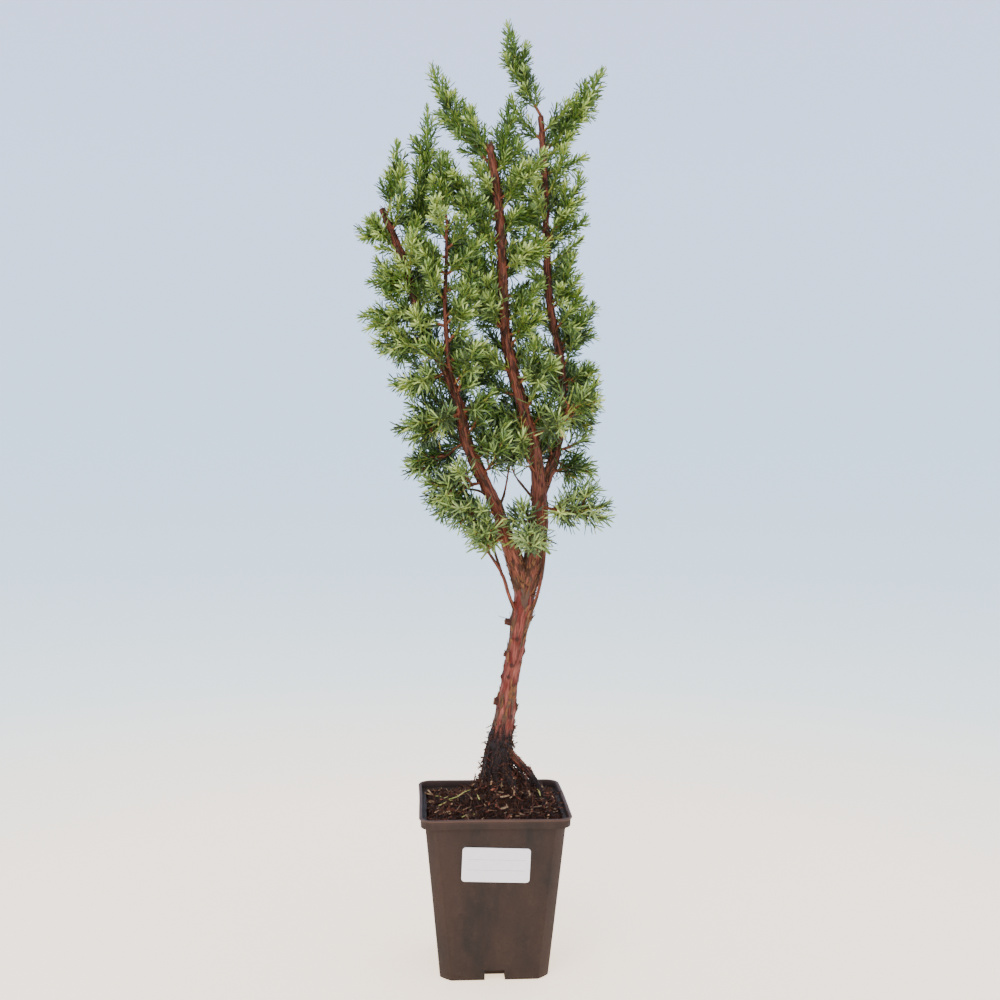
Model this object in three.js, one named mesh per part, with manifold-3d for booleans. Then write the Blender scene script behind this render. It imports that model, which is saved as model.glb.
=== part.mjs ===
// A young kishu juniper in a square nursery pot, in millimetres, +Z up.
// The origin is the middle of the pot's flat underside and -Y is the labelled front.
import * as THREE from 'three';
import Module from 'manifold-3d';

const wasm = await Module();
wasm.setup();

// Driving dimensions of the pot
const POT_TOP = 90; // across the lip
const POT_HEIGHT = 100;
const BODY_TOP = 82.8; // across the body, just under the rim band
const BODY_FOOT = 64.7;
const RIM_BAND = 5.7; // height of the band under the lip
const LIP_OVERHANG = 0.8;
const WALL = 1.2;
const CORNER_CUT = 6.5; // leg of the slanted corners
const RIM_CORNER = 9; // radius of the rim's corners
const NOTCH = { wide: 12, tall: 6, deep: 9 }; // drainage notch in the foot of each side
const DRAIN_HOLE = { radius: 3.5, offset: 19 };

// Driving dimensions of the soil, the label and the clearances
const GAP = 0.3;
const CLEAR = 0.38; // growth of a faceted limb that leaves the gap at its flats
const SOIL_LEVEL = 94;
const TRUNK_FOOT = 108; // flat foot of the trunk, seated in the soil's mound
const MOUND = { x: 7, y: -3, height: 25, reach: 24 };
const LABEL = { width: 40, height: 21, thickness: 0.4, corner: 2, middle: 71.6, tilt: -2.1 };

// Driving dimensions of the foliage
const WHORL_STEP = 7; // from one ring of needles to the next
const NEEDLE = 11;
const SIDE_NEEDLE = 9;
const NEEDLE_LEAN = 40; // degrees from the twig
const SIDE_LEAN = 48; // degrees from the stem
const SIDE_SHARE = 0.5; // longest side twig, as a share of its stem
const SIDE_SHORTEST = 11;
const SIDE_LONGEST = 20;
const BARE_SHARE = 0.26; // leafless foot of a stem
const REACH = 24; // nothing of a mass is further from its stem than this
const OWN_SPACE = 0.5; // from a needle to the edge of its mass's space
const WOOD_CLEARANCE = 0.9;
const ELBOW_ROOM = 1; // between a needle and the other twigs of its mass
const FRAME_STEPS = 24;
const TOUCH = 1e-4;
const KNOBS = 0.07; // unevenness of the limbs, as a share of their radius

const UP = new THREE.Vector3(0, 0, 1);

const colours = {
  pot: [0x4a423e, 0.55],
  soil: [0x2b201b, 0.95],
  label: [0xf1e9ea, 0.6],
  bark: [0x8a4a38, 0.85],
  twig: [0x7d5a45, 0.85],
  foliage: [0x4f8038, 0.6],
};
const materials = {};
for (const [name, [color, roughness]] of Object.entries(colours)) {
  materials[name] = new THREE.MeshStandardMaterial({ name, color, roughness, metalness: 0 });
}

const plant = new THREE.Group();

// Solids and meshes

function solidFrom(points, faces) {
  const vertProperties = new Float32Array(points.flatMap((p) => [p.x, p.y, p.z]));
  return new wasm.Manifold(new wasm.Mesh({ numProp: 3, vertProperties, triVerts: new Uint32Array(faces.flat()) }));
}

function solidFromGeometry(geometry) {
  const source = geometry.index ? geometry.toNonIndexed() : geometry;
  const position = source.getAttribute('position');
  const points = [];
  const faces = [];
  const seen = new Map();
  for (let i = 0; i < position.count; i += 3) {
    const face = [0, 1, 2].map((k) => {
      const p = new THREE.Vector3().fromBufferAttribute(position, i + k);
      const key = p.toArray().map((value) => Math.round(value * 1e4)).join();
      if (!seen.has(key)) seen.set(key, points.push(p) - 1);
      return seen.get(key);
    });
    if (new Set(face).size === 3) faces.push(face);
  }
  return solidFrom(points, faces);
}

function addNode(name, solid, material, parent = plant) {
  const { vertProperties, triVerts } = solid.getMesh();
  const geometry = new THREE.BufferGeometry();
  geometry.setAttribute('position', new THREE.BufferAttribute(vertProperties, 3));
  geometry.setIndex(new THREE.BufferAttribute(triVerts, 1));
  geometry.computeVertexNormals();
  const mesh = new THREE.Mesh(geometry, material);
  mesh.name = name;
  parent.add(mesh);
  return mesh;
}

function largestPiece(solid) {
  return solid.decompose().reduce((best, piece) => (piece.volume() > best.volume() ? piece : best));
}

// A closed body through rings of equally many points, with a fan over each end
function loft(rings) {
  const count = rings[0].length;
  const points = rings.flat();
  const faces = [];
  for (let ring = 0; ring + 1 < rings.length; ring += 1) {
    for (let i = 0; i < count; i += 1) {
      const a = ring * count + i;
      const b = ring * count + ((i + 1) % count);
      faces.push([a, b, b + count], [a, b + count, a + count]);
    }
  }
  const last = (rings.length - 1) * count;
  for (const [start, flip] of [[0, true], [last, false]]) {
    const ring = points.slice(start, start + count);
    const middle = ring.reduce((sum, p) => sum.add(p), new THREE.Vector3()).divideScalar(count);
    const centre = points.push(middle) - 1;
    for (let i = 0; i < count; i += 1) {
      const edge = [start + i, start + ((i + 1) % count)];
      faces.push(flip ? [centre, edge[1], edge[0]] : [centre, edge[0], edge[1]]);
    }
  }
  return solidFrom(points, faces);
}

// The pot

// A square outline at height z: each corner is a blend of a quarter circle and a straight cut
function squareRing(across, corner, straight, z) {
  const half = across / 2;
  const steps = 3;
  const ring = [];
  for (let side = 0; side < 4; side += 1) {
    for (let step = 0; step <= steps; step += 1) {
      const share = step / steps;
      const turn = (share * Math.PI) / 2;
      const round = new THREE.Vector2(half - corner * (1 - Math.cos(turn)), half - corner * (1 - Math.sin(turn)));
      const cut = new THREE.Vector2(half - corner * share, half - corner * (1 - share));
      const p = round.lerp(cut, straight).rotateAround(new THREE.Vector2(), (side * Math.PI) / 2);
      ring.push(new THREE.Vector3(p.x, p.y, z));
    }
  }
  return ring;
}

const RIM_FOOT = POT_HEIGHT - RIM_BAND;
const CUT_FLATNESS = 0.8;

function bodyRing(inset, z) {
  const across = BODY_FOOT + ((BODY_TOP - BODY_FOOT) * z) / RIM_FOOT;
  return squareRing(across - 2 * inset, CORNER_CUT, CUT_FLATNESS, z);
}

function rimRing(inset, z) {
  return squareRing(POT_TOP - 2 * inset, RIM_CORNER - inset, 0, z);
}

function box(width, depth, height, x, y, z) {
  const geometry = new THREE.BoxGeometry(width, depth, height);
  geometry.translate(x, y, z + height / 2);
  return solidFromGeometry(geometry);
}

// The notch of one side, grown by a margin all round, as a block that reaches below the foot
function notchBlock(side, margin) {
  const reach = 10;
  const block = box(
    NOTCH.wide + 2 * margin,
    NOTCH.deep + margin + reach,
    NOTCH.tall + margin + reach,
    0,
    -BODY_FOOT / 2 + (NOTCH.deep + margin - reach) / 2,
    -reach,
  );
  return block.rotate([0, 0, side * 90]);
}

const sides = [0, 1, 2, 3];

function makePot() {
  const outer = loft([
    bodyRing(0, 0),
    bodyRing(0, RIM_FOOT),
    rimRing(LIP_OVERHANG + 0.2, RIM_FOOT),
    rimRing(LIP_OVERHANG, POT_HEIGHT - 1.2),
    rimRing(0, POT_HEIGHT - 0.8),
    rimRing(0, POT_HEIGHT),
  ]);
  const inner = loft([
    bodyRing(WALL, WALL),
    bodyRing(WALL, RIM_FOOT + WALL),
    rimRing(LIP_OVERHANG + WALL, RIM_FOOT + WALL),
    rimRing(LIP_OVERHANG + WALL, POT_HEIGHT - 0.5),
    rimRing(LIP_OVERHANG + 0.4, POT_HEIGHT + 1),
  ]);
  let pot = outer.subtract(inner);
  for (const side of sides) {
    pot = pot.add(notchBlock(side, WALL).intersect(outer));
  }
  for (const side of sides) {
    const hole = new THREE.CylinderGeometry(DRAIN_HOLE.radius, DRAIN_HOLE.radius, 3 * WALL, 10);
    hole.rotateX(Math.PI / 2);
    const turn = (side * Math.PI) / 2 + Math.PI / 4;
    hole.translate(
      DRAIN_HOLE.offset * Math.SQRT2 * Math.cos(turn),
      DRAIN_HOLE.offset * Math.SQRT2 * Math.sin(turn),
      0,
    );
    pot = pot.subtract(notchBlock(side, 0)).subtract(solidFromGeometry(hole));
  }
  return pot;
}

// Limbs

// A limb is a spine of [x, y, z, diameter] points. It is read by height or by share of its length.
class Limb {
  constructor(stations, sidesRound, step, low = stations[0][2]) {
    Object.assign(this, { stations, sidesRound, step, low });
    this.curve = new THREE.CatmullRomCurve3(stations.map(([x, y, z]) => new THREE.Vector3(x, y, z)));
    this.top = stations.at(-1)[2];
  }

  radiusAt(z) {
    const after = Math.max(1, this.stations.findIndex((station) => station[2] >= z));
    const [low, high] = [this.stations[after - 1], this.stations[after]];
    const share = THREE.MathUtils.clamp((z - low[2]) / (high[2] - low[2]), 0, 1);
    return THREE.MathUtils.lerp(low[3], high[3], share) / 2;
  }

  // The point of the spine at height z, and its direction there
  at(z) {
    let [low, high] = [0, 1];
    for (let i = 0; i < 24; i += 1) {
      const middle = (low + high) / 2;
      if (this.curve.getPoint(middle).z < z) low = middle;
      else high = middle;
    }
    return { point: this.curve.getPoint(low), along: this.curve.getTangent(low), radius: this.radiusAt(z) };
  }

  // A faceted tube from height low to height high, grown by a margin
  tube(margin = 0, { low = this.low, high = this.top } = {}) {
    const { sidesRound, step } = this;
    const count = Math.max(3, Math.round((high - low) / step) + 1);
    const rings = [];
    for (let i = 0; i < count; i += 1) {
      const { point, along, radius } = this.at(low + ((high - low) * i) / (count - 1));
      if (i === 0) point.addScaledVector(along, -margin);
      if (i === count - 1) point.addScaledVector(along, margin);
      const across = new THREE.Vector3(0, 1, 0).cross(along).normalize();
      const away = along.clone().cross(across);
      const ring = [];
      for (let k = 0; k < sidesRound; k += 1) {
        const turn = (k / sidesRound) * 2 * Math.PI;
        const swell = 1 + KNOBS * Math.sin(2 * turn + i * 0.9) * Math.cos(turn - i * 0.5);
        const reach = radius * swell + margin;
        ring.push(
          point.clone()
            .addScaledVector(across, reach * Math.cos(turn))
            .addScaledVector(away, reach * Math.sin(turn)),
        );
      }
      rings.push(ring);
    }
    return loft(rings);
  }
}

const FORK = 231; // height at which the trunk forks
const ARM = 14; // length of the fork's two arms, which belong to the trunk

const limbs = {
  trunk: new Limb([
    [2, -1, TRUNK_FOOT, 21], [2.6, -1, 116, 19], [3.6, -0.5, 127, 17.4], [5, 0, 138, 13.6], [8, 0, 155, 11.6],
    [11, -1, 178, 9.9], [15, -1, 202, 10.2], [18, -1, 219, 12], [19, -1, FORK, 13],
  ], 11, 10),
  left: new Limb([
    [19, -1, 226, 11], [14, -2, 243, 10.4], [7.5, -4, 260, 8.6], [2, -5, 277, 7], [-5.5, -7, 293, 7],
    [-12, -8, 306, 7.2], [-18, -9, 321, 5.6], [-21.5, -9.5, 339, 4.9], [-28.5, -9, 357, 4.3],
    [-40, -8, 377, 3.9], [-48, -8.5, 400, 3.7], [-53, -8, 420, 3.9], [-60, -8, 437, 3.4], [-68.5, -7, 456, 3.2],
  ], 8, 11, FORK + ARM + GAP),
  centre: new Limb([
    [19, -1, 226, 11], [24, -1, 246, 11.2], [27, 0, 264, 10.2], [27.5, 0, 284, 9], [25.5, -1, 305, 7.4],
    [22, -1.5, 323, 6.7], [15.5, -2, 344, 6.4], [10, -2.5, 365, 6], [5.7, -2.5, 386, 5.2],
    [4.3, -2.3, 410, 4.9], [3, -2.2, 440, 5.1], [0.5, -1, 467, 4.6], [-4, 0, 497, 2.9],
  ], 8, 11, FORK + ARM + GAP),
  right: new Limb([
    [27, 0.5, 284, 7], [30, 3, 292, 6.8], [35, 7, 303, 6.4], [39, 10, 314, 4.8], [41.5, 12, 329, 3.8],
    [42.5, 13, 351, 3.3], [41, 13, 371, 3.7], [36.3, 12.5, 392, 3.7], [33, 12, 415, 3.7],
    [31.5, 11, 445, 3.5], [30.5, 11, 472, 3.4], [27.7, 11, 517, 2.8],
  ], 6, 12),
  thin: new Limb([
    [-23, -9.5, 345, 3.8], [-26.5, -12.5, 356, 3.5], [-29.5, -14, 376, 3], [-30.8, -15, 399, 2.5],
    [-30.3, -15, 423, 2.1], [-29.8, -14, 448, 1.8],
  ], 6, 12),
};

const bareTwigs = {
  left: new Limb([
    [13, -2, 216, 2.2], [9, -5, 226, 2], [5, -7, 238, 1.9], [-1, -8.5, 248, 1.8], [-9, -9.5, 259, 1.4],
  ], 5, 9),
  left_fork: new Limb([[3.5, -7, 240, 1.7], [1, -5, 250, 1.6], [-3.5, -2.5, 262, 1.3]], 5, 9),
  right: new Limb([
    [22, -3, 214, 2.6], [25.5, -6, 224, 2.2], [28.5, -8, 238, 2], [30, -9, 252, 1.8], [31, -8.5, 266, 1.3],
  ], 5, 9),
};

const rootPaths = [
  [[6, -2, 137], [14, -4, 129], [21, -6, 121], [27, -7, 112], [32, -8, 100]],
  [[3, 0, 128], [-4, -3, 121], [-10, -5, 112], [-15, -7, 103]],
  [[4, -3, 126], [7, -9, 120], [11, -16, 112], [14, -23, 103]],
  [[3, 2, 126], [0, 9, 119], [-4, 16, 110], [-6, 22, 101]],
];
const ROOT = { thick: 7.5, thin: 2.6, steps: 5, sidesRound: 5 };

const stubs = [
  { z: 209, turn: 180, reach: 8.5, size: 3.8 },
  { z: 160, turn: 185, reach: 8.2, size: 4.8 },
  { z: 190, turn: 200, reach: 7, size: 3 },
  { z: 147, turn: 5, reach: 8.8, size: 3.6 },
  { z: 170, turn: 100, reach: 7.4, size: 3.4 },
];

function makeRoot(path, margin) {
  const curve = new THREE.CatmullRomCurve3(path.map((p) => new THREE.Vector3(...p)));
  const { thick, thin, steps, sidesRound } = ROOT;
  const frames = curve.computeFrenetFrames(steps, false);
  const rings = [];
  for (let i = 0; i <= steps; i += 1) {
    const radius = THREE.MathUtils.lerp(thick, thin, i / steps) / 2 + margin;
    const centre = curve.getPointAt(i / steps);
    if (i === steps) centre.addScaledVector(frames.tangents[i], margin);
    const ring = [];
    for (let k = 0; k < sidesRound; k += 1) {
      const turn = (k / sidesRound) * 2 * Math.PI;
      ring.push(
        centre.clone()
          .addScaledVector(frames.normals[i], radius * Math.cos(turn))
          .addScaledVector(frames.binormals[i], radius * Math.sin(turn)),
      );
    }
    rings.push(ring);
  }
  return loft(rings);
}

function makeStub({ z, turn, reach, size }) {
  const { point } = limbs.trunk.at(z);
  const stub = new THREE.CylinderGeometry(size / 2 - 0.3, size / 2, reach, 5);
  stub.translate(0, reach / 2, 0);
  stub.rotateZ(-Math.PI / 2);
  return solidFromGeometry(stub).rotate([0, 0, turn]).translate(point.toArray());
}

// Trunk with its roots; a margin grows it for the socket in the soil
function trunkBody(margin) {
  let body = limbs.trunk.tube(margin);
  for (const path of rootPaths) body = body.add(makeRoot(path, margin));
  return body;
}

function makeTrunk() {
  let trunk = trunkBody(0);
  for (const stub of stubs) trunk = trunk.add(makeStub(stub));
  for (const name of ['left', 'centre']) {
    trunk = trunk.add(limbs[name].tube(0, { low: limbs[name].stations[0][2], high: FORK + ARM }));
  }
  return trunk;
}

// Soil

function soilHeight(x, y) {
  const distance = Math.hypot(x - MOUND.x, y - MOUND.y);
  const mound = MOUND.height * Math.exp(-((distance / MOUND.reach) ** 2));
  const crumbs = 0.7 * Math.sin(x * 0.61 + y * 0.23) + 0.6 * Math.sin(y * 0.74 - x * 0.35 + 1.3);
  return SOIL_LEVEL + mound + crumbs;
}

function makeSoil() {
  const rings = [bodyRing(WALL + GAP, WALL + GAP)];
  const edge = bodyRing(WALL + GAP, SOIL_LEVEL - 2.5);
  rings.push(edge);
  for (const share of [0.97, 0.85, 0.7, 0.55, 0.4, 0.27, 0.15, 0.06]) {
    rings.push(
      edge.map((p) => {
        const x = THREE.MathUtils.lerp(MOUND.x, p.x, share);
        const y = THREE.MathUtils.lerp(MOUND.y, p.y, share);
        return new THREE.Vector3(x, y, soilHeight(x, y));
      }),
    );
  }
  let soil = loft(rings).subtract(trunkBody(CLEAR));
  for (const side of sides) soil = soil.subtract(notchBlock(side, WALL + GAP));
  return largestPiece(soil);
}

// Foliage

// Each row is one mass on its limb: the height it leaves at, then its shoots.
// A shoot is [direction seen from above in degrees, rise in degrees, length].
const masses = {
  right: [
    [517, [194, 68, 60]], [495, [344, 53, 64]], [442, [322, 57, 48]], [400, [312, 40, 32]], [374, [20, 53, 42]],
    [357, [325, 13, 29]], [344, [303, -35, 34]], [308, [350, -16, 30]],
    [462, [80, 48, 40]], [412, [62, 38, 40]], [350, [75, 30, 42], [55, 4, 38]],
  ],
  centre: [
    [478, [45, 74, 49]], [463, [315, 34, 50]], [448, [20, 30, 37]], [422, [325, 27, 44]], [399, [30, 31, 33]],
    [383, [325, 24, 31]], [355, [348, 30, 30], [312, 18, 32]], [322, [321, 35, 61]],
    [483, [160, 58, 78]], [436, [207, 51, 69]], [409, [160, 56, 56], [192, 40, 40]], [387, [218, 49, 50]],
    [363, [155, 21, 36], [212, 26, 31]], [334, [200, 6, 36]], [314, [220, 15, 33]],
    [272, [235, 5, 42], [262, -22, 45]], [280, [313, 2, 56]],
    [455, [105, 46, 44]], [390, [122, 38, 44], [82, 20, 42]], [320, [120, 22, 44], [90, -2, 42]],
  ],
  thin: [[448, [240, 77, 39]], [417, [215, 44, 38]], [388, [310, 41, 35]]],
  left: [
    [451, [339, 81, 46]], [427, [12, 81, 92]], [440, [215, 24, 26], [155, 10, 23]], [411, [158, 8, 32], [200, 24, 24]],
    [398, [207, -23, 39], [170, -1, 32]], [383, [148, -19, 37], [195, -6, 30]], [360, [212, -14, 35], [165, -11, 32]],
    [336, [214, -10, 44], [172, -12, 38]], [319, [150, -20, 45], [186, -28, 36]], [295, [204, -1, 45], [178, -14, 34]],
    [277, [218, 7, 45], [168, 9, 39]], [261, [236, 10, 44], [196, -12, 39]],
    [404, [85, 32, 36]], [332, [95, 24, 42], [122, -2, 40]], [268, [128, -6, 38]],
  ],
};

// The same numbers in the same order on every run
function seededRandom(seed) {
  let state = seed;
  return () => {
    state = (state * 1664525 + 1013904223) % 4294967296;
    return state / 4294967296;
  };
}

function heading(direction, rise) {
  return new THREE.Vector3(1, 0, 0)
    .applyAxisAngle(new THREE.Vector3(0, -1, 0), THREE.MathUtils.degToRad(rise))
    .applyAxisAngle(UP, THREE.MathUtils.degToRad(direction));
}

// A shoot leaves its limb flatter than it ends, because its tip turns up to the light
function shootCurve(start, direction, rise, length) {
  const tip = start.clone().addScaledVector(heading(direction, rise), length);
  const bend = start.clone()
    .addScaledVector(heading(direction, rise - 14), length * 0.5);
  return new THREE.QuadraticBezierCurve3(start, bend, tip);
}

const pointsBetween = (from, to, shares) => shares.map((share) => from.clone().lerp(to, share));
const nearest = new THREE.Vector3();

function distanceToLines(point, lines) {
  let best = Infinity;
  for (const line of lines) best = Math.min(best, line.closestPointToPoint(point, true, nearest).distanceTo(point));
  return best;
}

function linesThrough(points) {
  return points.slice(1).map((point, i) => new THREE.Line3(points[i], point));
}

// Each mass knows its stems, and the other masses and the stretches of wood that are near enough to matter
const grown = [];
for (const [limbName, rows] of Object.entries(masses)) {
  rows.forEach(([height, ...shoots], index) => {
    const curve = shootCurve(limbs[limbName].at(height).point, ...shoots[0]);
    const forks = shoots.slice(1).map((shoot) => shootCurve(curve.getPoint(BARE_SHARE), ...shoot));
    const points = [curve, ...forks].flatMap((each) => each.getPoints(7));
    grown.push({
      name: `${limbName}_foliage_${String(index + 1).padStart(2, '0')}`,
      limb: limbs[limbName],
      curve,
      forks,
      stems: [curve, ...forks].flatMap((each) => linesThrough(each.getPoints(7))),
      space: new THREE.Box3().setFromPoints(points).expandByScalar(REACH),
    });
  });
}

const wood = [...Object.values(limbs), ...Object.values(bareTwigs)].flatMap((limb) => {
  const points = limb.curve.getPoints(limb.stations.length * 4);
  return linesThrough(points).map((line) => ({ line, radius: limb.radiusAt(line.start.z) }));
});

for (const mass of grown) {
  mass.rivals = grown.filter((other) => other !== mass && other.space.intersectsBox(mass.space));
  mass.wood = wood.filter(({ line }) => mass.space.containsPoint(line.start) || mass.space.containsPoint(line.end));
}

function belongs(point, mass) {
  const own = distanceToLines(point, mass.stems);
  return mass.wood.every(({ line, radius }) => distanceToLines(point, [line]) > radius + WOOD_CLEARANCE)
    && mass.rivals.every((rival) => distanceToLines(point, rival.stems) > own + 2 * OWN_SPACE);
}

const middleOf = (triangle) => triangle.getMidpoint(new THREE.Vector3());
const cornersOf = ({ a, b, c }) => [a, b, c];
const ray = new THREE.Ray();

// Whether an edge of one triangle goes through the other
function pierces(triangle, target) {
  return cornersOf(triangle).some((from, k, all) => {
    const to = all[(k + 1) % 3];
    const length = from.distanceTo(to);
    ray.set(from, to.clone().sub(from).normalize());
    const hit = ray.intersectTriangle(target.a, target.b, target.c, false, nearest);
    return hit && from.distanceTo(hit) > TOUCH && from.distanceTo(hit) < length - TOUCH;
  });
}

function crossesMesh(triangles, mesh, owner) {
  const middle = middleOf(triangles[0]);
  const near = mesh.placed.filter((face) => face.owner !== owner && face.middle.distanceTo(middle) < REACH / 2);
  return triangles.some((triangle) => near.some((face) => pierces(triangle, face) || pierces(face, triangle)));
}

// The rings of a three-sided twig, each turned by a sixth from the last one
function twigRings(curve, first, shares, radii) {
  const frames = curve.computeFrenetFrames(FRAME_STEPS, false);
  const [normal, binormal] = [frames.normals[0], frames.binormals[0]];
  const start = curve.getPointAt(0);
  const offset = first.clone().sub(start);
  const spin = Math.atan2(offset.dot(binormal), offset.dot(normal));
  return shares.map((share, index) => {
    const frame = Math.round(share * FRAME_STEPS);
    const centre = curve.getPointAt(share);
    const spokes = [0, 1, 2].map((k) => {
      const angle = spin + ((index + 1) * Math.PI) / 3 + (k * 2 * Math.PI) / 3;
      return frames.normals[frame].clone().multiplyScalar(Math.cos(angle))
        .addScaledVector(frames.binormals[frame], Math.sin(angle));
    });
    const corners = spokes.map((spoke) => centre.clone().addScaledVector(spoke, radii[index]));
    return { spokes, corners, along: frames.tangents[frame], share };
  });
}

// Sets a needle on a face where it stays in the mass's space and clear of the mass's other twigs
function needleOn({ face, out, along, owner, needle }, mesh, mass) {
  const lean = THREE.MathUtils.degToRad(NEEDLE_LEAN);
  const corners = face.map((i) => mesh.points[i]);
  const tip = middleOf(new THREE.Triangle(...corners))
    .addScaledVector(out, needle * Math.sin(lean))
    .addScaledVector(along, needle * Math.cos(lean));
  const samples = [tip, ...corners.flatMap((corner) => pointsBetween(corner, tip, [0.4, 0.75]))];
  const lines = mesh.lines.filter((line) => line.owner !== owner);
  const isFree = (p) => belongs(p, mass) && distanceToLines(p, lines) > ELBOW_ROOM;
  const flanks = corners.map((corner, k) => new THREE.Triangle(corner, corners[(k + 1) % 3], tip));
  if (!samples.every(isFree) || crossesMesh(flanks, mesh, owner)) return false;
  const n = mesh.points.push(tip) - 1;
  face.forEach((corner, k) => addFace(mesh, [corner, face[(k + 1) % 3], n], owner));
  return true;
}

function addFace(mesh, face, owner) {
  mesh.faces.push(face);
  const triangle = new THREE.Triangle(...face.map((i) => mesh.points[i]));
  mesh.placed.push(Object.assign(triangle, { owner, middle: middleOf(triangle) }));
}

// A side twig that leaves from a face, cut short where it would leave the mass's space, or nothing.
// Towards the tip of the stem the side twigs get shorter, so that the spray comes to a point.
function planSide({ face, out, along, share }, mesh, mass, length, random) {
  const lean = THREE.MathUtils.degToRad(SIDE_LEAN);
  const start = middleOf(new THREE.Triangle(...face.map((i) => mesh.points[i])));
  const full = length * SIDE_SHARE * (1.1 - 0.7 * share) * (0.85 + 0.3 * random());
  const reach = Math.min(THREE.MathUtils.clamp(full, SIDE_SHORTEST, SIDE_LONGEST), 5 + 0.6 * length * (1 - share));
  const way = along.clone().multiplyScalar(Math.cos(lean)).addScaledVector(out, Math.sin(lean));
  const isFree = (p) => belongs(p, mass) && distanceToLines(p, mesh.lines) > 2 * ELBOW_ROOM;
  for (const cut of [1, 0.85, 0.7, 0.58]) {
    const end = start.clone().addScaledVector(way, reach * cut);
    const clear = pointsBetween(start, end, [0.4, 0.6, 0.8, 1]).every(isFree);
    if (clear && reach * cut > SIDE_SHORTEST * 0.7) {
      const bend = start.clone().lerp(end, 0.5).addScaledVector(out, reach * 0.05);
      return new THREE.QuadraticBezierCurve3(start, bend, end);
    }
  }
  return null;
}

// Grows the wood of a twig out of a triangle of the mesh. Its side twigs are drawn out of its faces, so the
// whole mass is one closed surface. The other faces are kept as places for needles.
function growTwig(mesh, base, curve, kind, mass, random, forks = []) {
  const { bare, thick, thin, needle, twiggy } = kind;
  const length = curve.getLength();
  const crown = Math.max(1 - (needle * Math.cos(THREE.MathUtils.degToRad(NEEDLE_LEAN))) / length, bare + 0.2);
  const whorls = Math.max(1, Math.round((length * (crown - bare)) / WHORL_STEP));
  const shares = [];
  for (let i = 0; i <= whorls; i += 1) shares.push(THREE.MathUtils.lerp(bare, crown, i / whorls));
  const radii = shares.map((share) => THREE.MathUtils.lerp(thick, thin, share));
  const rings = twigRings(curve, mesh.points[base[0]], shares, radii);
  let below = base;
  const places = [];
  rings.forEach((ring, r) => {
    const above = ring.corners.map((corner) => mesh.points.push(corner) - 1);
    for (let k = 0; k < 3; k += 1) {
      const next = (k + 1) % 3;
      const up = [below[k], below[next], above[k]];
      const down = [below[next], above[next], above[k]];
      if (r === 0) {
        addFace(mesh, up, curve);
        addFace(mesh, down, curve);
      } else {
        const { along, share, spokes } = rings[r - 1];
        places.push({ face: up, out: ring.spokes[k], along, share, whorl: r, turn: 2 * k + 1, owner: curve, needle });
        places.push({ face: down, out: spokes[next], along, share, whorl: r, turn: 2 * k + 2, owner: curve, needle });
      }
    }
    below = above;
  });
  const end = mesh.points.push(curve.getPointAt(1)) - 1;
  below.forEach((corner, k) => addFace(mesh, [corner, below[(k + 1) % 3], end], curve));
  for (const fork of forks) {
    const way = fork.getTangent(0.3);
    const [place] = places.filter(({ whorl }) => whorl === 1).sort((a, b) => b.out.dot(way) - a.out.dot(way));
    place.child = [fork, STEM];
  }
  for (const place of places) {
    const due = twiggy && ((place.turn + 2 * place.whorl) % 6) % 3 === 0;
    const side = due && !place.child && planSide(place, mesh, mass, length, random);
    if (side) place.child = [side, SIDE_TWIG];
    if (!place.child) continue;
    linesThrough(place.child[0].getPoints(4)).slice(1)
      .forEach((line) => mesh.lines.push(Object.assign(line, { owner: place.child[0] })));
  }
  mesh.places.push(...places.filter((place) => !place.child));
  for (const { face, child } of places.filter((place) => place.child)) growTwig(mesh, face, ...child, mass, random);
}

const STEM = { bare: BARE_SHARE, thick: 0.95, thin: 0.6, needle: NEEDLE, twiggy: true };
const SIDE_TWIG = { bare: 0.2, thick: 0.65, thin: 0.5, needle: SIDE_NEEDLE, twiggy: false };

function growMass(mass, seed) {
  const mesh = { points: [], faces: [], placed: [], lines: [], places: [] };
  linesThrough(mass.curve.getPoints(7)).slice(2)
    .forEach((line) => mesh.lines.push(Object.assign(line, { owner: mass.curve })));
  const [foot] = twigRings(mass.curve, mass.curve.getPointAt(0).add(UP), [0], [1]);
  const base = foot.corners.map((corner) => mesh.points.push(corner) - 1);
  mesh.faces.push([base[2], base[1], base[0]]);
  growTwig(mesh, base, mass.curve, STEM, mass, seededRandom(seed), mass.forks);
  for (const place of mesh.places) {
    if (!needleOn(place, mesh, mass)) addFace(mesh, place.face, place.owner);
  }
  return largestPiece(solidFrom(mesh.points, mesh.faces).subtract(mass.limb.tube(CLEAR)));
}

// Assembly

const pot = makePot();
addNode('pot', pot, materials.pot);
addNode('soil', makeSoil(), materials.soil);

const labelOutline = new THREE.Shape();
const [halfWide, halfTall, round] = [LABEL.width / 2, LABEL.height / 2, LABEL.corner];
labelOutline.moveTo(-halfWide + round, -halfTall);
labelOutline.lineTo(halfWide - round, -halfTall);
labelOutline.absarc(halfWide - round, -halfTall + round, round, -Math.PI / 2, 0);
labelOutline.absarc(halfWide - round, halfTall - round, round, 0, Math.PI / 2);
labelOutline.absarc(-halfWide + round, halfTall - round, round, Math.PI / 2, Math.PI);
labelOutline.absarc(-halfWide + round, -halfTall + round, round, Math.PI, 1.5 * Math.PI);
const labelSolid = solidFromGeometry(
  new THREE.ExtrudeGeometry(labelOutline, { depth: LABEL.thickness, bevelEnabled: false, curveSegments: 3 }),
);
const wallLean = Math.atan((BODY_TOP - BODY_FOOT) / 2 / RIM_FOOT);
const wallFront = (BODY_FOOT + ((BODY_TOP - BODY_FOOT) * LABEL.middle) / RIM_FOOT) / 2;
const labelSeat = new THREE.Group();
labelSeat.position.set(0, -wallFront - GAP, LABEL.middle);
labelSeat.rotation.set(Math.PI / 2 + wallLean, 0, 0);
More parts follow.
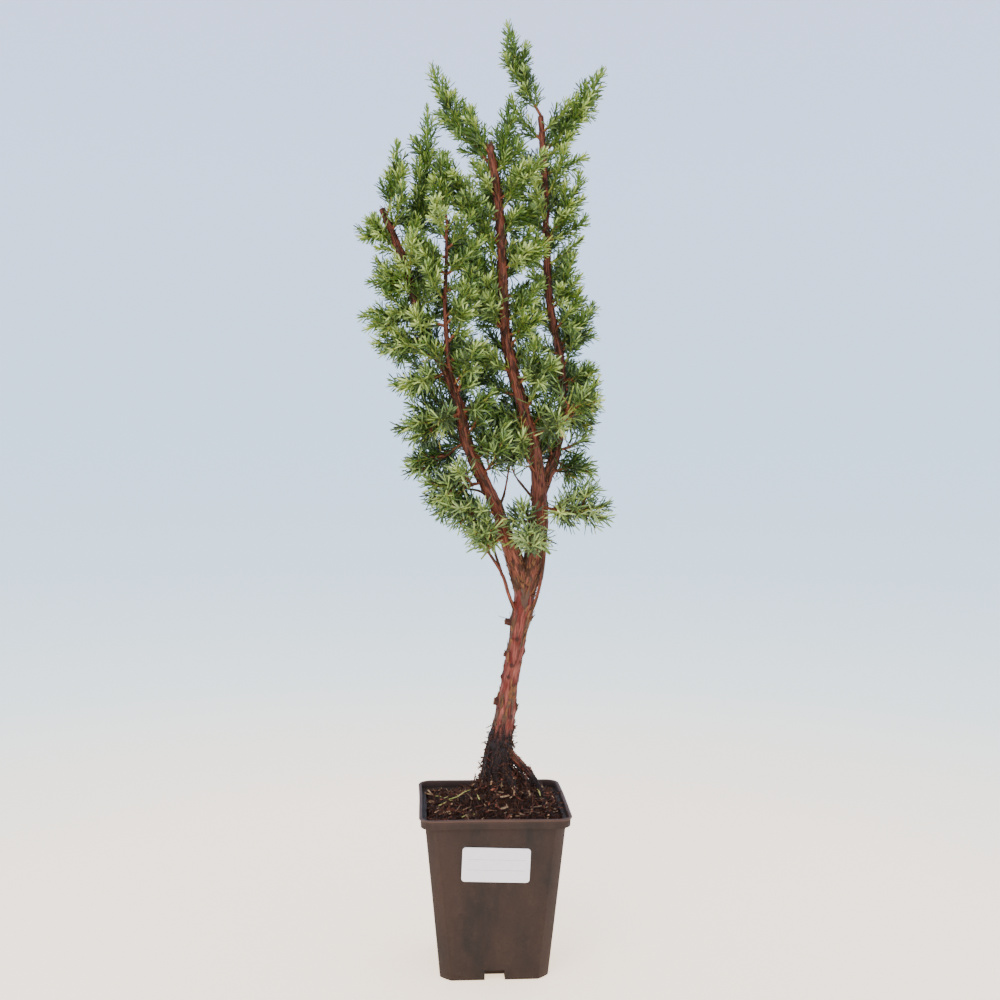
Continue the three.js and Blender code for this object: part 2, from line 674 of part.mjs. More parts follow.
plant.add(labelSeat);
addNode('label', labelSolid, materials.label, labelSeat).rotation.z = THREE.MathUtils.degToRad(LABEL.tilt);

addNode('trunk', makeTrunk(), materials.bark);

const boughs = {
  left_limb: limbs.left.tube(),
  centre_limb: limbs.centre.tube(),
  right_limb: limbs.right.tube().subtract(limbs.centre.tube(CLEAR)),
  thin_limb: limbs.thin.tube().subtract(limbs.left.tube(CLEAR)),
};
for (const [name, solid] of Object.entries(boughs)) addNode(name, largestPiece(solid), materials.bark);

const trunkGrown = limbs.trunk.tube(CLEAR);
const lowTwigs = {
  twig_left: bareTwigs.left.tube().add(bareTwigs.left_fork.tube()).subtract(trunkGrown),
  twig_right: bareTwigs.right.tube().subtract(trunkGrown),
};
for (const [name, solid] of Object.entries(lowTwigs)) addNode(name, largestPiece(solid), materials.twig);

grown.forEach((mass, index) => addNode(mass.name, growMass(mass, 11 + index * 7), materials.foliage));

export default plant;
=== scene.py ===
# %% [markdown]
# A kishu juniper in its nursery pot
#
# The real thing is a young juniper with soft awl needles, trained as a bonsai and still in its square
# plastic pot. This lesson dresses the plain solids of the model: bark with relief on the trunk and limbs,
# a crown of fine twigs and needles, peat in the pot, a moulded pot and a blank sticker. Every piece is
# drawn in millimetres on the model's own frame and turned to metres once, when its mesh is made.

# %% Load the frame that the looks are built on
import math
import random

import bmesh
import bpy
import numpy as np
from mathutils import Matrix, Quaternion, Vector, kdtree, noise


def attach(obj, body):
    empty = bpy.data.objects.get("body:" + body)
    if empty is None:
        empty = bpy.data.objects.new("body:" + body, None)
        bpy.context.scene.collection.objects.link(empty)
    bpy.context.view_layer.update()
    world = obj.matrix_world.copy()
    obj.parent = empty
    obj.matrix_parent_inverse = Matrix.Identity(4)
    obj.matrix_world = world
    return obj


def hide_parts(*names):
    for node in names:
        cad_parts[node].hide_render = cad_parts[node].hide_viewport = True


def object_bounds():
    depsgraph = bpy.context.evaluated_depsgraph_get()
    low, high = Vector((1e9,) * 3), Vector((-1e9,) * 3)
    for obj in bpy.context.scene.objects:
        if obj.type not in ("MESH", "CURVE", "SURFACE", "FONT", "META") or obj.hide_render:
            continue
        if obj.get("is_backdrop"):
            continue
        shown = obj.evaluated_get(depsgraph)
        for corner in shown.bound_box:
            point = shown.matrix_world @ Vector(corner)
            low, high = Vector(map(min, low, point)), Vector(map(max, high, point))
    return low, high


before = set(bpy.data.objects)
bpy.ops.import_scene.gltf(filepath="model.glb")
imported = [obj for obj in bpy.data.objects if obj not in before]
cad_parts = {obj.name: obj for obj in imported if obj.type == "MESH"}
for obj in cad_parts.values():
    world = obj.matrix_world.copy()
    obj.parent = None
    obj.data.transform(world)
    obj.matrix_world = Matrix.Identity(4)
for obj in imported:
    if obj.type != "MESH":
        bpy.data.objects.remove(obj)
cad_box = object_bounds()
MM = 0.001
print("nodes in the frame:", len(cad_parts))


# %% [markdown]
# Camera
#
# The photograph was taken at the height of the middle of the tree, from the front and a little to the
# left, looking slightly down. A lens of 47 mm on a 36 mm sensor from 0.8 m away gives its perspective.
# The place and the direction come from matching the pot's corners and the limbs with the picture.

# %% Camera at the photograph's viewing angle
CAMERA_PLACE = (-0.0520, -0.7866, 0.3220)
CAMERA_LOOKS = (0.0703, 0.9963, -0.0488)
CAMERA_ROLL = 0.38
LENS = 46.8

camera_data = bpy.data.cameras.new("camera")
camera_data.lens = LENS
camera_data.sensor_width = 36.0
camera = bpy.data.objects.new("camera", camera_data)
bpy.context.scene.collection.objects.link(camera)
camera.location = CAMERA_PLACE
level = Vector(CAMERA_LOOKS).to_track_quat("-Z", "Y")
camera.rotation_euler = (level @ Quaternion((0, 0, 1), math.radians(CAMERA_ROLL))).to_euler()
bpy.context.scene.camera = camera
print("camera stands", round(Vector(CAMERA_PLACE).length, 3), "m from the pot's foot")


# %% [markdown]
# A few small helpers
#
# A mesh can be modelled by hand, but everything here follows a rule, so its points are worked out and
# handed to one function. Most shapes are rings of points with faces between them. Colours are written as
# they look on a screen and turned to the linear values that a renderer mixes. One function adds a node:
# what is a socket gets linked, what is a value is set.

# %% Helpers for meshes
def put(name, points, faces, edges=(), smooth=True):
    """A mesh object from points in millimetres, at the origin."""
    mesh = bpy.data.meshes.new(name)
    mesh.from_pydata((np.asarray(points, float) * MM).tolist(), list(edges), faces)
    mesh.polygons.foreach_set("use_smooth", [smooth] * len(mesh.polygons))
    piece = bpy.data.objects.new(name, mesh)
    bpy.context.scene.collection.objects.link(piece)
    return piece


def quads(rings, count, first=0):
    """Faces between rings of count points that follow one another from the point first on."""
    return [(a + k, a + (k + 1) % count, a + count + (k + 1) % count, a + count + k)
            for a in range(first, first + (rings - 1) * count, count) for k in range(count)]


def tag(piece, name, kind, values, field="value"):
    """Writes one value for each point of the piece."""
    attribute = piece.data.attributes.new(name, kind, "POINT")
    attribute.data.foreach_set(field, np.asarray(values, float).ravel())


print("two rings of 12 points have", len(quads(2, 12)), "faces between them")


# %% Helpers for colours, nodes and materials
def linear(colour):
    """An sRGB hex colour as linear red, green, blue and alpha."""
    channels = [int(colour[i:i + 2], 16) / 255 for i in (1, 3, 5)]
    return [c / 12.92 if c <= 0.04045 else ((c + 0.055) / 1.055) ** 2.4 for c in channels] + [1.0]


def add(tree, kind, sockets=None, **settings):
    """Adds a node, with its settings, its plain values and its links."""
    node = tree.nodes.new(kind)
    for key, value in settings.items():
        setattr(node, key, value)
    for key, value in (sockets or {}).items():
        if isinstance(value, bpy.types.NodeSocket):
            tree.links.new(value, node.inputs[key])
        else:
            node.inputs[key].default_value = value
    return node


def finish(name, colour="#808080", **values):
    """A material with one principled shader, and the tree that its patterns go into."""
    material = bpy.data.materials.new(name)
    material.use_nodes = True
    shader = material.node_tree.nodes["Principled BSDF"]
    shader.inputs["Base Color"].default_value = linear(colour)
    for key, value in values.items():
        shader.inputs[key.replace("_", " ")].default_value = value
    return material, material.node_tree, shader


print("the middle grey of a screen is", round(linear("#808080")[0], 3), "in light")


# %% [markdown]
# The way of a limb
#
# A limb of a living tree is never straight: each bend is a place where it was wired, cut or turned to the
# light. A few stations along each limb, with the diameter there, hold all of that. A smooth curve goes
# through them, and is read again at even steps so that the bark's relief has the same grain everywhere.

# %% Stations of the trunk and the limbs
TRUNK = [
    (2, -1, 108, 21), (2.6, -1, 116, 19), (3.6, -0.5, 127, 17.4), (5, 0, 138, 13.6), (8, 0, 155, 11.6),
    (11, -1, 178, 9.9), (15, -1, 202, 10.2), (18, -1, 219, 12), (19, -1, 231, 13),
]
LEFT_LIMB = [
    (19, -1, 226, 11), (14, -2, 243, 10.4), (7.5, -4, 260, 8.6), (2, -5, 277, 7), (-5.5, -7, 293, 7),
    (-12, -8, 306, 7.2), (-18, -9, 321, 5.6), (-21.5, -9.5, 339, 4.9), (-28.5, -9, 357, 4.3),
    (-40, -8, 377, 3.9), (-48, -8.5, 400, 3.7), (-53, -8, 420, 3.9), (-60, -8, 437, 3.4),
    (-68.5, -7, 456, 3.2),
]
CENTRE_LIMB = [
    (19, -1, 226, 11), (24, -1, 246, 11.2), (27, 0, 264, 10.2), (27.5, 0, 284, 9), (25.5, -1, 305, 7.4),
    (22, -1.5, 323, 6.7), (15.5, -2, 344, 6.4), (10, -2.5, 365, 6), (5.7, -2.5, 386, 5.2),
    (4.3, -2.3, 410, 4.9), (3, -2.2, 440, 5.1), (0.5, -1, 467, 4.6), (-4, 0, 497, 2.9),
]
RIGHT_LIMB = [
    (27, 0.5, 284, 7), (30, 3, 292, 6.8), (35, 7, 303, 6.4), (39, 10, 314, 4.8), (41.5, 12, 329, 3.8),
    (42.5, 13, 351, 3.3), (41, 13, 371, 3.7), (36.3, 12.5, 392, 3.7), (33, 12, 415, 3.7),
    (31.5, 11, 445, 3.5), (30.5, 11, 472, 3.4), (27.7, 11, 517, 2.8),
]
THIN_LIMB = [
    (-23, -9.5, 345, 3.8), (-26.5, -12.5, 356, 3.5), (-29.5, -14, 376, 3), (-30.8, -15, 399, 2.5),
    (-30.3, -15, 423, 2.1), (-29.8, -14, 448, 1.8),
]
limbs = {"right": RIGHT_LIMB, "centre": CENTRE_LIMB, "thin": THIN_LIMB, "left": LEFT_LIMB}
print("stations:", {name: len(stations) for name, stations in limbs.items()})


# %% A smooth path through stations
READINGS = 16


def smooth_path(stations, spacing):
    """Points, radii and ways gone at even steps along a centripetal curve through the stations."""
    knots = np.array(stations, float)
    padded = np.vstack([2 * knots[0] - knots[1], knots, 2 * knots[-1] - knots[-2]])
    fine = []
    for i in range(len(knots) - 1):
        p0, p1, p2, p3 = padded[i:i + 4]
        d0, d1, d2 = (math.sqrt(math.dist(a[:3], b[:3])) for a, b in ((p0, p1), (p1, p2), (p2, p3)))
        leave = ((p1 - p0) / d0 - (p2 - p0) / (d0 + d1) + (p2 - p1) / d1) * d1
        reach = ((p2 - p1) / d1 - (p3 - p1) / (d1 + d2) + (p3 - p2) / d2) * d1
        for s in np.linspace(0, 1, READINGS, endpoint=False):
            place = p1 + leave * s
            place += (3 * (p2 - p1) - 2 * leave - reach) * s ** 2
            place += (2 * (p1 - p2) + leave + reach) * s ** 3
            place[3] = p1[3] + (p2[3] - p1[3]) * s
            fine.append(place)
    fine = np.array(fine + [knots[-1]])
    gone = np.concatenate([[0], np.cumsum(np.linalg.norm(np.diff(fine[:, :3], axis=0), axis=1))])
    steps = np.linspace(0, gone[-1], max(3, round(gone[-1] / spacing) + 1))
    even = np.column_stack([np.interp(steps, gone, fine[:, axis]) for axis in range(4)])
    return even[:, :3], even[:, 3] / 2, steps


for limb_name, limb_stations in limbs.items():
    print(limb_name, "limb is", round(smooth_path(limb_stations, 2)[2][-1]), "mm along its bends")


# %% [markdown]
# Bark with relief
#
# Juniper bark peels in long strips. Where a strip has gone, the bark under it is smooth and red. What is
# left of the old layer is fibrous, grey-brown, a few tenths of a millimetre thick, and lifts at its edges.
# A bump pattern alone would leave the outline smooth, so the strips are real relief here: noise that is
# stretched along the limb says where old bark stays, and the surface is raised there and a little more at
# the edge. Each point also keeps its place on the straightened limb, for the finer grain in the material.

# %% Ways across a path, and noise that is stretched along it
def ramp(low, high, value):
    """Goes smoothly from 0 at low to 1 at high."""
    share = min(1.0, max(0.0, (value - low) / (high - low)))
    return share * share * (3 - 2 * share)


def frames_along(points):
    """Directions along and across a path, one of each for every point."""
    along = np.gradient(points, axis=0)
    along /= np.linalg.norm(along, axis=1)[:, None]
    across = np.cross((0.0, 1.0, 0.0), along)
    across /= np.linalg.norm(across, axis=1)[:, None]
    return along, across, np.cross(along, across)


STRIP_WIDE, FIBRE_WIDE, FIBRE_LONG, LUMP_WIDE, LUMP_LONG = 2.1, 0.7, 5, 5, 9


def grain_noise(x, y, gone, wide, long, shift):
    """Noise that is stretched along a limb, at a place on its skin."""
    return noise.noise(Vector((x / wide, y / wide, gone / long)) + shift)


print("a strip of old bark is about", STRIP_WIDE, "mm wide")


# %% Sweep a limb and raise its old bark
def bark_limb(name, stations, around, spacing, seed, plate=0.35, worn=0.0, worn_side=225, bands=(), knobs=(),
              peat_line=None, tone=1.0, strip_long=15, stout=0.0):
    """A closed limb whose old bark stands a plate proud, on wood made stouter all over by stout.

    Bands from low to high have lost some more of it, or less where the share is below 0. A knob is a
    swelling at a height and a side, and under the peat line the bark is dirty.
    """
    points, radii, gone = smooth_path(stations, spacing)
    along, across, away = frames_along(points)
    shift = Vector((seed * 7.3, seed * 3.1, seed * 5.7))
    places, grains, olds, edges, peats, scars = [], [], [], [], [], []
    for i, radius in enumerate(radii):
        band = sum(lost * ramp(low - 6, low + 6, points[i][2]) * ramp(high + 6, high - 6, points[i][2])
                   for low, high, lost in bands)
        for k in range(around):
            turn = 2 * math.pi * k / around
            c, s = math.cos(turn), math.sin(turn)
            grain = c * radius, s * radius, gone[i]
            strip = grain_noise(*grain, STRIP_WIDE, strip_long, shift)
            fibre = grain_noise(*grain, FIBRE_WIDE, FIBRE_LONG, shift)
            lump = grain_noise(*grain, LUMP_WIDE, LUMP_LONG, shift * 2)
            bare = worn + 0.16 * math.cos(turn - math.radians(worn_side)) * (worn != 0) + band
            old = ramp(-0.05, 0.09, strip + 0.3 * fibre - bare)
            edge = 4 * old * (1 - old)
            lift = stout + plate * (old - 0.4) + 0.5 * plate * edge + 0.35 * plate * fibre
            lift += 0.07 * radius * lump
            scar = 0
            for height, side, width, swell in knobs:
                away_from = math.radians(side) - turn
                drift = radius * math.atan2(math.sin(away_from), math.cos(away_from))
                near = math.exp(-(drift ** 2 + (points[i][2] - height) ** 2) / width ** 2)
                lift += swell * near
                scar = max(scar, near)
            lift *= ramp(-0.5, 1.5, min(gone[i], gone[-1] - gone[i]))
            out = across[i] * c + away[i] * s
            places.append(points[i] + out * (radius + lift))
            grains.append(grain)
            peat = 0 if peat_line is None else ramp(4, -4, places[-1][2] - peat_line - 9 * strip)
            olds.append(old * (1 - peat))
            edges.append(edge)
            peats.append(peat)
            scars.append(ramp(0.35, 0.8, scar))
    faces = quads(len(radii), around) + [tuple(reversed(range(around)))]
    tip = len(places)
    crown = tip - around
    places.append(points[-1] + along[-1] * 0.3)
    grains.append((0, 0, gone[-1]))
    for values in (olds, edges, peats, scars):
        values.append(0)
    faces += [(crown + k, crown + (k + 1) % around, tip) for k in range(around)]
    piece = put(name, places, faces)
    tag(piece, "grain", "FLOAT_VECTOR", grains, "vector")
    tag(piece, "along", "FLOAT_VECTOR", np.vstack([np.repeat(along, around, axis=0), along[-1:]]), "vector")
    for label, values in (("old", olds), ("edge", edges), ("peat", peats), ("scar", scars)):
        tag(piece, label, "FLOAT", values)
    tag(piece, "tone", "FLOAT", [tone] * len(places))
    tag(piece, "cut", "FLOAT", [0] * tip + [1])
    return piece


TRUNK_AROUND, TRUNK_SPACING = 108, 0.65
print("the trunk's bark has", len(smooth_path(TRUNK, TRUNK_SPACING)[2]), "rings of", TRUNK_AROUND, "points")


# %% [markdown]
# Trunk, root flare and pruning stubs
#
# The trunk leans to the right and narrows from the black, peaty foot to the slim middle, then swells at
# the fork. Four surface roots run out from it into the soil, with a few thin rootlets between them. Where
# shoots were pruned there are stubs and knots. A stub is a short limb of its own, set in a collar that the
# trunk's relief raises round it, and a knot is such a collar alone.

# %% Roots, stubs and knots of the trunk
ROOTS = [
    [(6, -2, 133, 5.6), (13, -4, 126, 4.6), (20, -6, 119, 3.8), (26, -7, 111, 3.4), (31, -8, 100, 3)],
    [(4, 0, 128, 8), (0.5, -2, 121, 6), (-3, -4, 112, 4.4), (-6, -6, 101, 3.2)],
    [(4, -3, 126, 8), (7, -9, 120, 6.2), (11, -15, 112, 4.6), (14, -22, 101, 3.2)],
    [(3, 2, 126, 8), (0, 9, 119, 6.2), (-4, 15, 110, 4.4), (-6, 21, 100, 3.2)],
]
ROOTLETS = [
    [(-2, -5, 132, 1.3), (-4, -8, 126, 1.1), (-6, -9, 116, 0.9), (-6, -10, 104, 0.7)],
    [(0, -7, 126, 1.2), (-2, -10, 120, 1), (-3, -12, 110, 0.9), (-2, -14, 101, 0.7)],
    [(-2, 2, 130, 1.2), (-5, 2, 122, 1), (-7, 1, 110, 0.8), (-8, 0, 98, 0.7)],
    [(9, -5, 126, 1.2), (15, -9, 121, 1), (20, -11, 111, 0.9), (22, -13, 99, 0.7)],
    [(10, 3, 128, 1.3), (16, 7, 120, 1), (20, 11, 108, 0.8), (22, 12, 98, 0.7)],
]
STUBS = [  # height, side in degrees, reach, size
    (209, 180, 9.4, 4.2), (160, 185, 8.2, 4.8), (189, 190, 6.6, 2.6), (144, 350, 8, 2.8),
    (170, 100, 7.4, 3.4),
]
KNOTS = [  # height, side in degrees, width, swell
    (199, 266, 1.7, 0.9), (183, 260, 1.9, 0.9), (176, 250, 1.6, 0.8), (192, 352, 2, 1), (175, 182, 1.7, 1.1),
    (157, 350, 2.4, 1.2), (138, 195, 3, 1.3), (152, 300, 2.2, 0.9), (214, 20, 3.5, 1.2),
]
PEAT_LINE, FIRST_ROOT_PEAT, ROOT_PEAT, ROOTLET_PEAT, STUB_DARK = 143, 122, 126, 160, 9
print("roots:", len(ROOTS), "rootlets:", len(ROOTLETS), "stubs:", len(STUBS), "knots:", len(KNOTS))


# %% Trunk with its roots and stubs
def join(name, pieces):
    """Joins pieces into the first one. Their attributes go with them."""
    with bpy.context.temp_override(active_object=pieces[0], selected_editable_objects=pieces):
        bpy.ops.object.join()
    pieces[0].name = name
    pieces[0].data.name = name
    return pieces[0]


def trunk_at(height):
    """The middle of the trunk at a height."""
    points, _, _ = smooth_path(TRUNK, 1)
    return [float(np.interp(height, points[:, 2], points[:, axis])) for axis in (0, 1)] + [height]


def stub_stations(height, side, reach, size):
    """A pruned shoot that rises a little as it leaves the trunk."""
    x, y, z = trunk_at(height)
    c, s = math.cos(math.radians(side)), math.sin(math.radians(side))
    return [(x + c * d, y + s * d, z + rise, size * grow) for d, rise, grow in
            ((reach * 0.3, -0.6, 1.3), (reach * 0.7, 0, 1.05), (reach, 0.5, 0.94))]


collars = [(height, side, size * 0.75, 0.9) for height, side, _, size in STUBS] + KNOTS
trunk_parts = [bark_limb(
    "trunk_bark", TRUNK, TRUNK_AROUND, TRUNK_SPACING, 1, plate=0.42, worn=0.02,
    bands=[(163, 212, 0.13), (218, 245, -0.16)], knobs=collars, peat_line=PEAT_LINE, tone=0.0,
)]
for n, root in enumerate(ROOTS):
    line = ROOT_PEAT if n else FIRST_ROOT_PEAT
    trunk_parts.append(bark_limb(f"root_{n}", root, 36, 0.8, 10 + n, plate=0.5, peat_line=line, tone=0.7))
for n, rootlet in enumerate(ROOTLETS):
    trunk_parts.append(bark_limb(f"rootlet_{n}", rootlet, 7, 1.2, 50 + n, plate=0.1, peat_line=ROOTLET_PEAT))
for n, stub in enumerate(STUBS):
    trunk_parts.append(bark_limb(f"stub_{n}", stub_stations(*stub), 20, 0.5, 20 + n, plate=0.4, worn=0.5,
                                 knobs=[(stub[0], stub[1], STUB_DARK, 0)], tone=0.5))
trunk_bark = join("trunk_bark", trunk_parts)
print("trunk, roots and stubs:", len(trunk_bark.data.polygons), "faces")


# %% [markdown]
# Limbs and bare twigs
#
# Above the fork two limbs rise, and a third and a thin fourth branch off them. Their bark is darker than
# the trunk's, with red streaks where it has peeled. Low on the trunk and on the feet of the limbs six bare
# twigs are left from shoots that died for lack of light. The same function makes them all, with fewer
# points round a thinner limb.

# %% Limbs and the low bare twigs
limb_barks = {
    "left": bark_limb(
        "left_limb_bark", LEFT_LIMB, 54, 0.75, 2, plate=0.46, worn=0.02, worn_side=210,
        bands=[(226, 243, -0.16), (248, 300, 0.13), (318, 440, -0.06)], strip_long=7, stout=0.3,
    ),
    "centre": bark_limb(
        "centre_limb_bark", CENTRE_LIMB, 54, 0.75, 3, plate=0.46, worn=0.02, worn_side=235,
        bands=[(226, 256, -0.16), (266, 352, 0.13), (365, 497, -0.06)], strip_long=7, stout=0.45,
    ),
    "right": bark_limb(
        "right_limb_bark", RIGHT_LIMB, 34, 0.85, 4, plate=0.36, worn=0.01, worn_side=240,
        bands=[(284, 400, -0.06), (440, 520, 0.13)], strip_long=6, stout=0.4,
    ),
    "thin": bark_limb("thin_limb_bark", THIN_LIMB, 24, 0.85, 5, plate=0.2, bands=[(372, 450, 0.13)]),
}
LOW_TWIGS = [
    [(13, -2, 216, 2.4), (9, -5, 226, 2), (5, -7, 238, 1.9), (-1, -8.5, 248, 1.8), (-9, -9.5, 259, 1.3)],
    [(4.6, -7, 238, 1.7), (1, -5, 250, 1.6), (-3.5, -2.5, 262, 1.2)],
    [(22, -3, 214, 2.8), (25.5, -6, 224, 2.2), (28.5, -8, 238, 2), (30, -9, 252, 1.8), (31, -8.5, 266, 1.2)],
    [(2, -5, 278, 1.6), (5.5, -6, 287, 1.4), (7.5, -6.5, 298, 1.2), (9, -7, 308, 1.1), (14, -7.5, 316, 0.8)],
    [(25, -2, 283, 1.6), (18, -4, 291, 1.3), (12, -5, 299, 1.1), (9.5, -5.5, 306, 0.9)],
    [(-2, -6, 284, 1.5), (-9, -8, 289, 1.3), (-17, -9, 291, 1.1), (-24, -9, 296, 0.8)],
]
low_twigs = join("bare_twigs", [bark_limb(f"bare_twig_{n}", path, 16, 0.7, 30 + n, plate=0.18, tone=0.75)
                                for n, path in enumerate(LOW_TWIGS)])
print("limb bark:", {name: len(piece.data.polygons) for name, piece in limb_barks.items()})


# %% [markdown]
# Finish of the bark
#
# Living bark of a juniper that peels: dull, with the smooth red layer a little less dull. A table lists
# which two tones are mixed by which share, so the recipe reads from top to bottom. The grain is
# stretched along the limb, so the material reads the place on the straightened limb and not the place in
# the room. One noise of half a millimetre by seven is the fibre, one of 4 by 12 mm is the patchy colour.

# %% Bark material
def bark_finish():
    """Red inner bark, grey-brown strips, painted shade along the lifted edges, peat on the foot and pale cut
    ends.
    """
    material, tree, shader = finish("peeling juniper bark", Roughness=0.8, Specular_IOR_Level=0.2)
    grain = add(tree, "ShaderNodeAttribute", attribute_name="grain").outputs["Vector"]
    stretched = add(tree, "ShaderNodeVectorMath", {0: grain, 1: (2.0, 2.0, 0.14)}, operation="MULTIPLY")
    broad = add(tree, "ShaderNodeVectorMath", {0: grain, 1: (0.25, 0.25, 0.085)}, operation="MULTIPLY")
    fibre = add(tree, "ShaderNodeTexNoise", {"Vector": stretched.outputs[0], "Scale": 1.0, "Detail": 3.0})
    patch = add(tree, "ShaderNodeTexNoise", {"Vector": broad.outputs[0], "Scale": 1.0, "Detail": 2.0})
    streak = add(tree, "ShaderNodeMapRange", {0: fibre.outputs[0], 1: 0.35, 2: 0.65})
    blotch = add(tree, "ShaderNodeMapRange", {0: patch.outputs[0], 1: 0.38, 2: 0.62})
    mixed = {"streak": streak.outputs[0], "blotch": blotch.outputs[0]}
    for name in ("old", "edge", "peat", "tone", "cut", "scar"):
        mixed[name] = add(tree, "ShaderNodeAttribute", attribute_name=name).outputs["Fac"]
    # The edge share darkens the bark along the lifted edges of the old strips, as painted shade.
    for name, source, strength in (("painted edge shade", "edge", 0.6), ("mark", "scar", 0.75)):
        weaker = add(tree, "ShaderNodeMath", {0: mixed[source], 1: strength}, operation="MULTIPLY")
        mixed[name] = weaker.outputs[0]
    for name, share, low, high in (
        ("rosy skin", "streak", "#5c2418", "#9e5a4a"), ("red skin", "streak", "#43150d", "#74291b"),
        ("trunk skin", "blotch", "rosy skin", "red skin"), ("limb skin", "streak", "#35140a", "#96543b"),
        ("skin", "tone", "trunk skin", "limb skin"), ("trunk strips", "streak", "#2f1c12", "#754e31"),
        ("limb strips", "streak", "#190d08", "#5e3c26"),
        ("grey strips", "tone", "#5a4539", "#4a3022"), ("strips", "tone", "trunk strips", "limb strips"),
        ("old bark", "blotch", "strips", "grey strips"), ("clean bark", "old", "skin", "old bark"),
        ("edged bark", "painted edge shade", "clean bark", "#22110c"),
        ("scarred bark", "mark", "edged bark", "#2a1710"),
        ("peaty", "streak", "#0f0705", "#33201a"), ("bark", "peat", "scarred bark", "peaty"),
        ("bark with cuts", "cut", "bark", "#b48f69"),
    ):
        ends = {key: mixed.get(end) or linear(end) for key, end in ((6, low), (7, high))}
        mixed[name] = add(tree, "ShaderNodeMix", {0: mixed[share], **ends}, data_type="RGBA").outputs[2]
    rough = add(tree, "ShaderNodeMapRange", {0: mixed["old"], 3: 0.55, 4: 0.9}).outputs[0]
    tree.links.new(mixed["bark with cuts"], shader.inputs["Base Color"])
    tree.links.new(rough, shader.inputs["Roughness"])
    bump = add(tree, "ShaderNodeBump", {"Height": fibre.outputs[0], "Strength": 0.6, "Distance": 0.5 * MM})
    tree.links.new(bump.outputs[0], shader.inputs["Normal"])
    return material


bark = bark_finish()
for piece in (trunk_bark, low_twigs, *limb_barks.values()):
    piece.data.materials.append(bark)
print("bark is on", 2 + len(limb_barks), "pieces")


# %% [markdown]
# Loose flakes of bark
#
# Here and there a strip hangs on by one end and stands off the limb. Modelling each by hand is slow, and
# they repeat, so a node tree scatters one curled flake over the bark: its long side is turned along the
# limb, its size is drawn at random between two named limits, and old bark carries more of them.

# %% A node tree that scatters a small shape over a surface
def new_tree(name, inputs):
    """An empty node tree with a geometry input and output and the named inputs given."""
    tree = bpy.data.node_groups.new(name, "GeometryNodeTree")
    tree.interface.new_socket("Geometry", in_out="INPUT", socket_type="NodeSocketGeometry")
    tree.interface.new_socket("Geometry", in_out="OUTPUT", socket_type="NodeSocketGeometry")
    for label, kind in inputs:
        tree.interface.new_socket(label, in_out="INPUT", socket_type=f"NodeSocket{kind}")
    return tree, add(tree, "NodeGroupInput").outputs


def scatter_tree(name, weight, lay=None):
    """Scatters a shape on faces, more where the attribute weight is high, its Y side laid along lay."""
    tree, given = new_tree(name, [
        ("Shape", "Object"), ("Per square metre", "Float"), ("Smallest", "Vector"), ("Largest", "Vector"),
        ("Tilt", "Float"), ("Seed", "Int"), ("Finish", "Material"),
    ])
    share = add(tree, "GeometryNodeInputNamedAttribute", {"Name": weight}, data_type="FLOAT").outputs[0]
    density = add(tree, "ShaderNodeMath", {0: share, 1: given["Per square metre"]}, operation="MULTIPLY")
    spots = add(tree, "GeometryNodeDistributePointsOnFaces",
                {"Mesh": given["Geometry"], "Density": density.outputs[0], "Seed": given["Seed"]})
    if lay:
        side = add(tree, "GeometryNodeInputNamedAttribute", {"Name": lay}, data_type="FLOAT_VECTOR")
        turned = add(tree, "FunctionNodeAlignRotationToVector", axis="Y", pivot_axis="Z",
                     sockets={"Rotation": spots.outputs["Rotation"], "Vector": side.outputs[0]})
    else:
        spin = add(tree, "FunctionNodeRandomValue", {2: 0.0, 3: math.tau, "Seed": 1}, data_type="FLOAT")
        about = add(tree, "FunctionNodeAxisAngleToRotation", {"Axis": (0, 0, 1), "Angle": spin.outputs[1]})
        turned = add(tree, "FunctionNodeRotateRotation",
                     {0: spots.outputs["Rotation"], 1: about.outputs[0]}, rotation_space="LOCAL")
    lean = add(tree, "FunctionNodeRandomValue", {2: 0.0, 3: given["Tilt"], "Seed": 2}, data_type="FLOAT")
    nod = add(tree, "FunctionNodeAxisAngleToRotation", {"Axis": (1, 0, 0), "Angle": lean.outputs[1]})
    laid = add(tree, "FunctionNodeRotateRotation", {0: turned.outputs[0], 1: nod.outputs[0]},
               rotation_space="LOCAL")
    size = add(tree, "FunctionNodeRandomValue", {0: given["Smallest"], 1: given["Largest"], "Seed": 3},
               data_type="FLOAT_VECTOR")
    shape = add(tree, "GeometryNodeObjectInfo", {"Object": given["Shape"]})
    copies = add(tree, "GeometryNodeInstanceOnPoints", {
        "Points": spots.outputs["Points"], "Instance": shape.outputs["Geometry"],
        "Rotation": laid.outputs[0], "Scale": size.outputs[0],
    })
    real = add(tree, "GeometryNodeRealizeInstances", {"Geometry": copies.outputs[0]})
    finished = add(tree, "GeometryNodeSetMaterial",
                   {"Geometry": real.outputs[0], "Material": given["Finish"]})
    add(tree, "NodeGroupOutput", {"Geometry": finished.outputs[0]})
    return tree


along_bark = scatter_tree("flakes along the bark", "old", "along")
print("inputs:", [item.name for item in along_bark.interface.items_tree if item.in_out == "INPUT"])


# %% [markdown]
# The flake itself is a strip with a closed surface, thin, narrowed at its ends and curled away from the
# bark at the far one. It is drawn one millimetre long and wide, so a copy's scale is its size in
# millimetres. The same shape serves later for the fibres and chips on the peat.

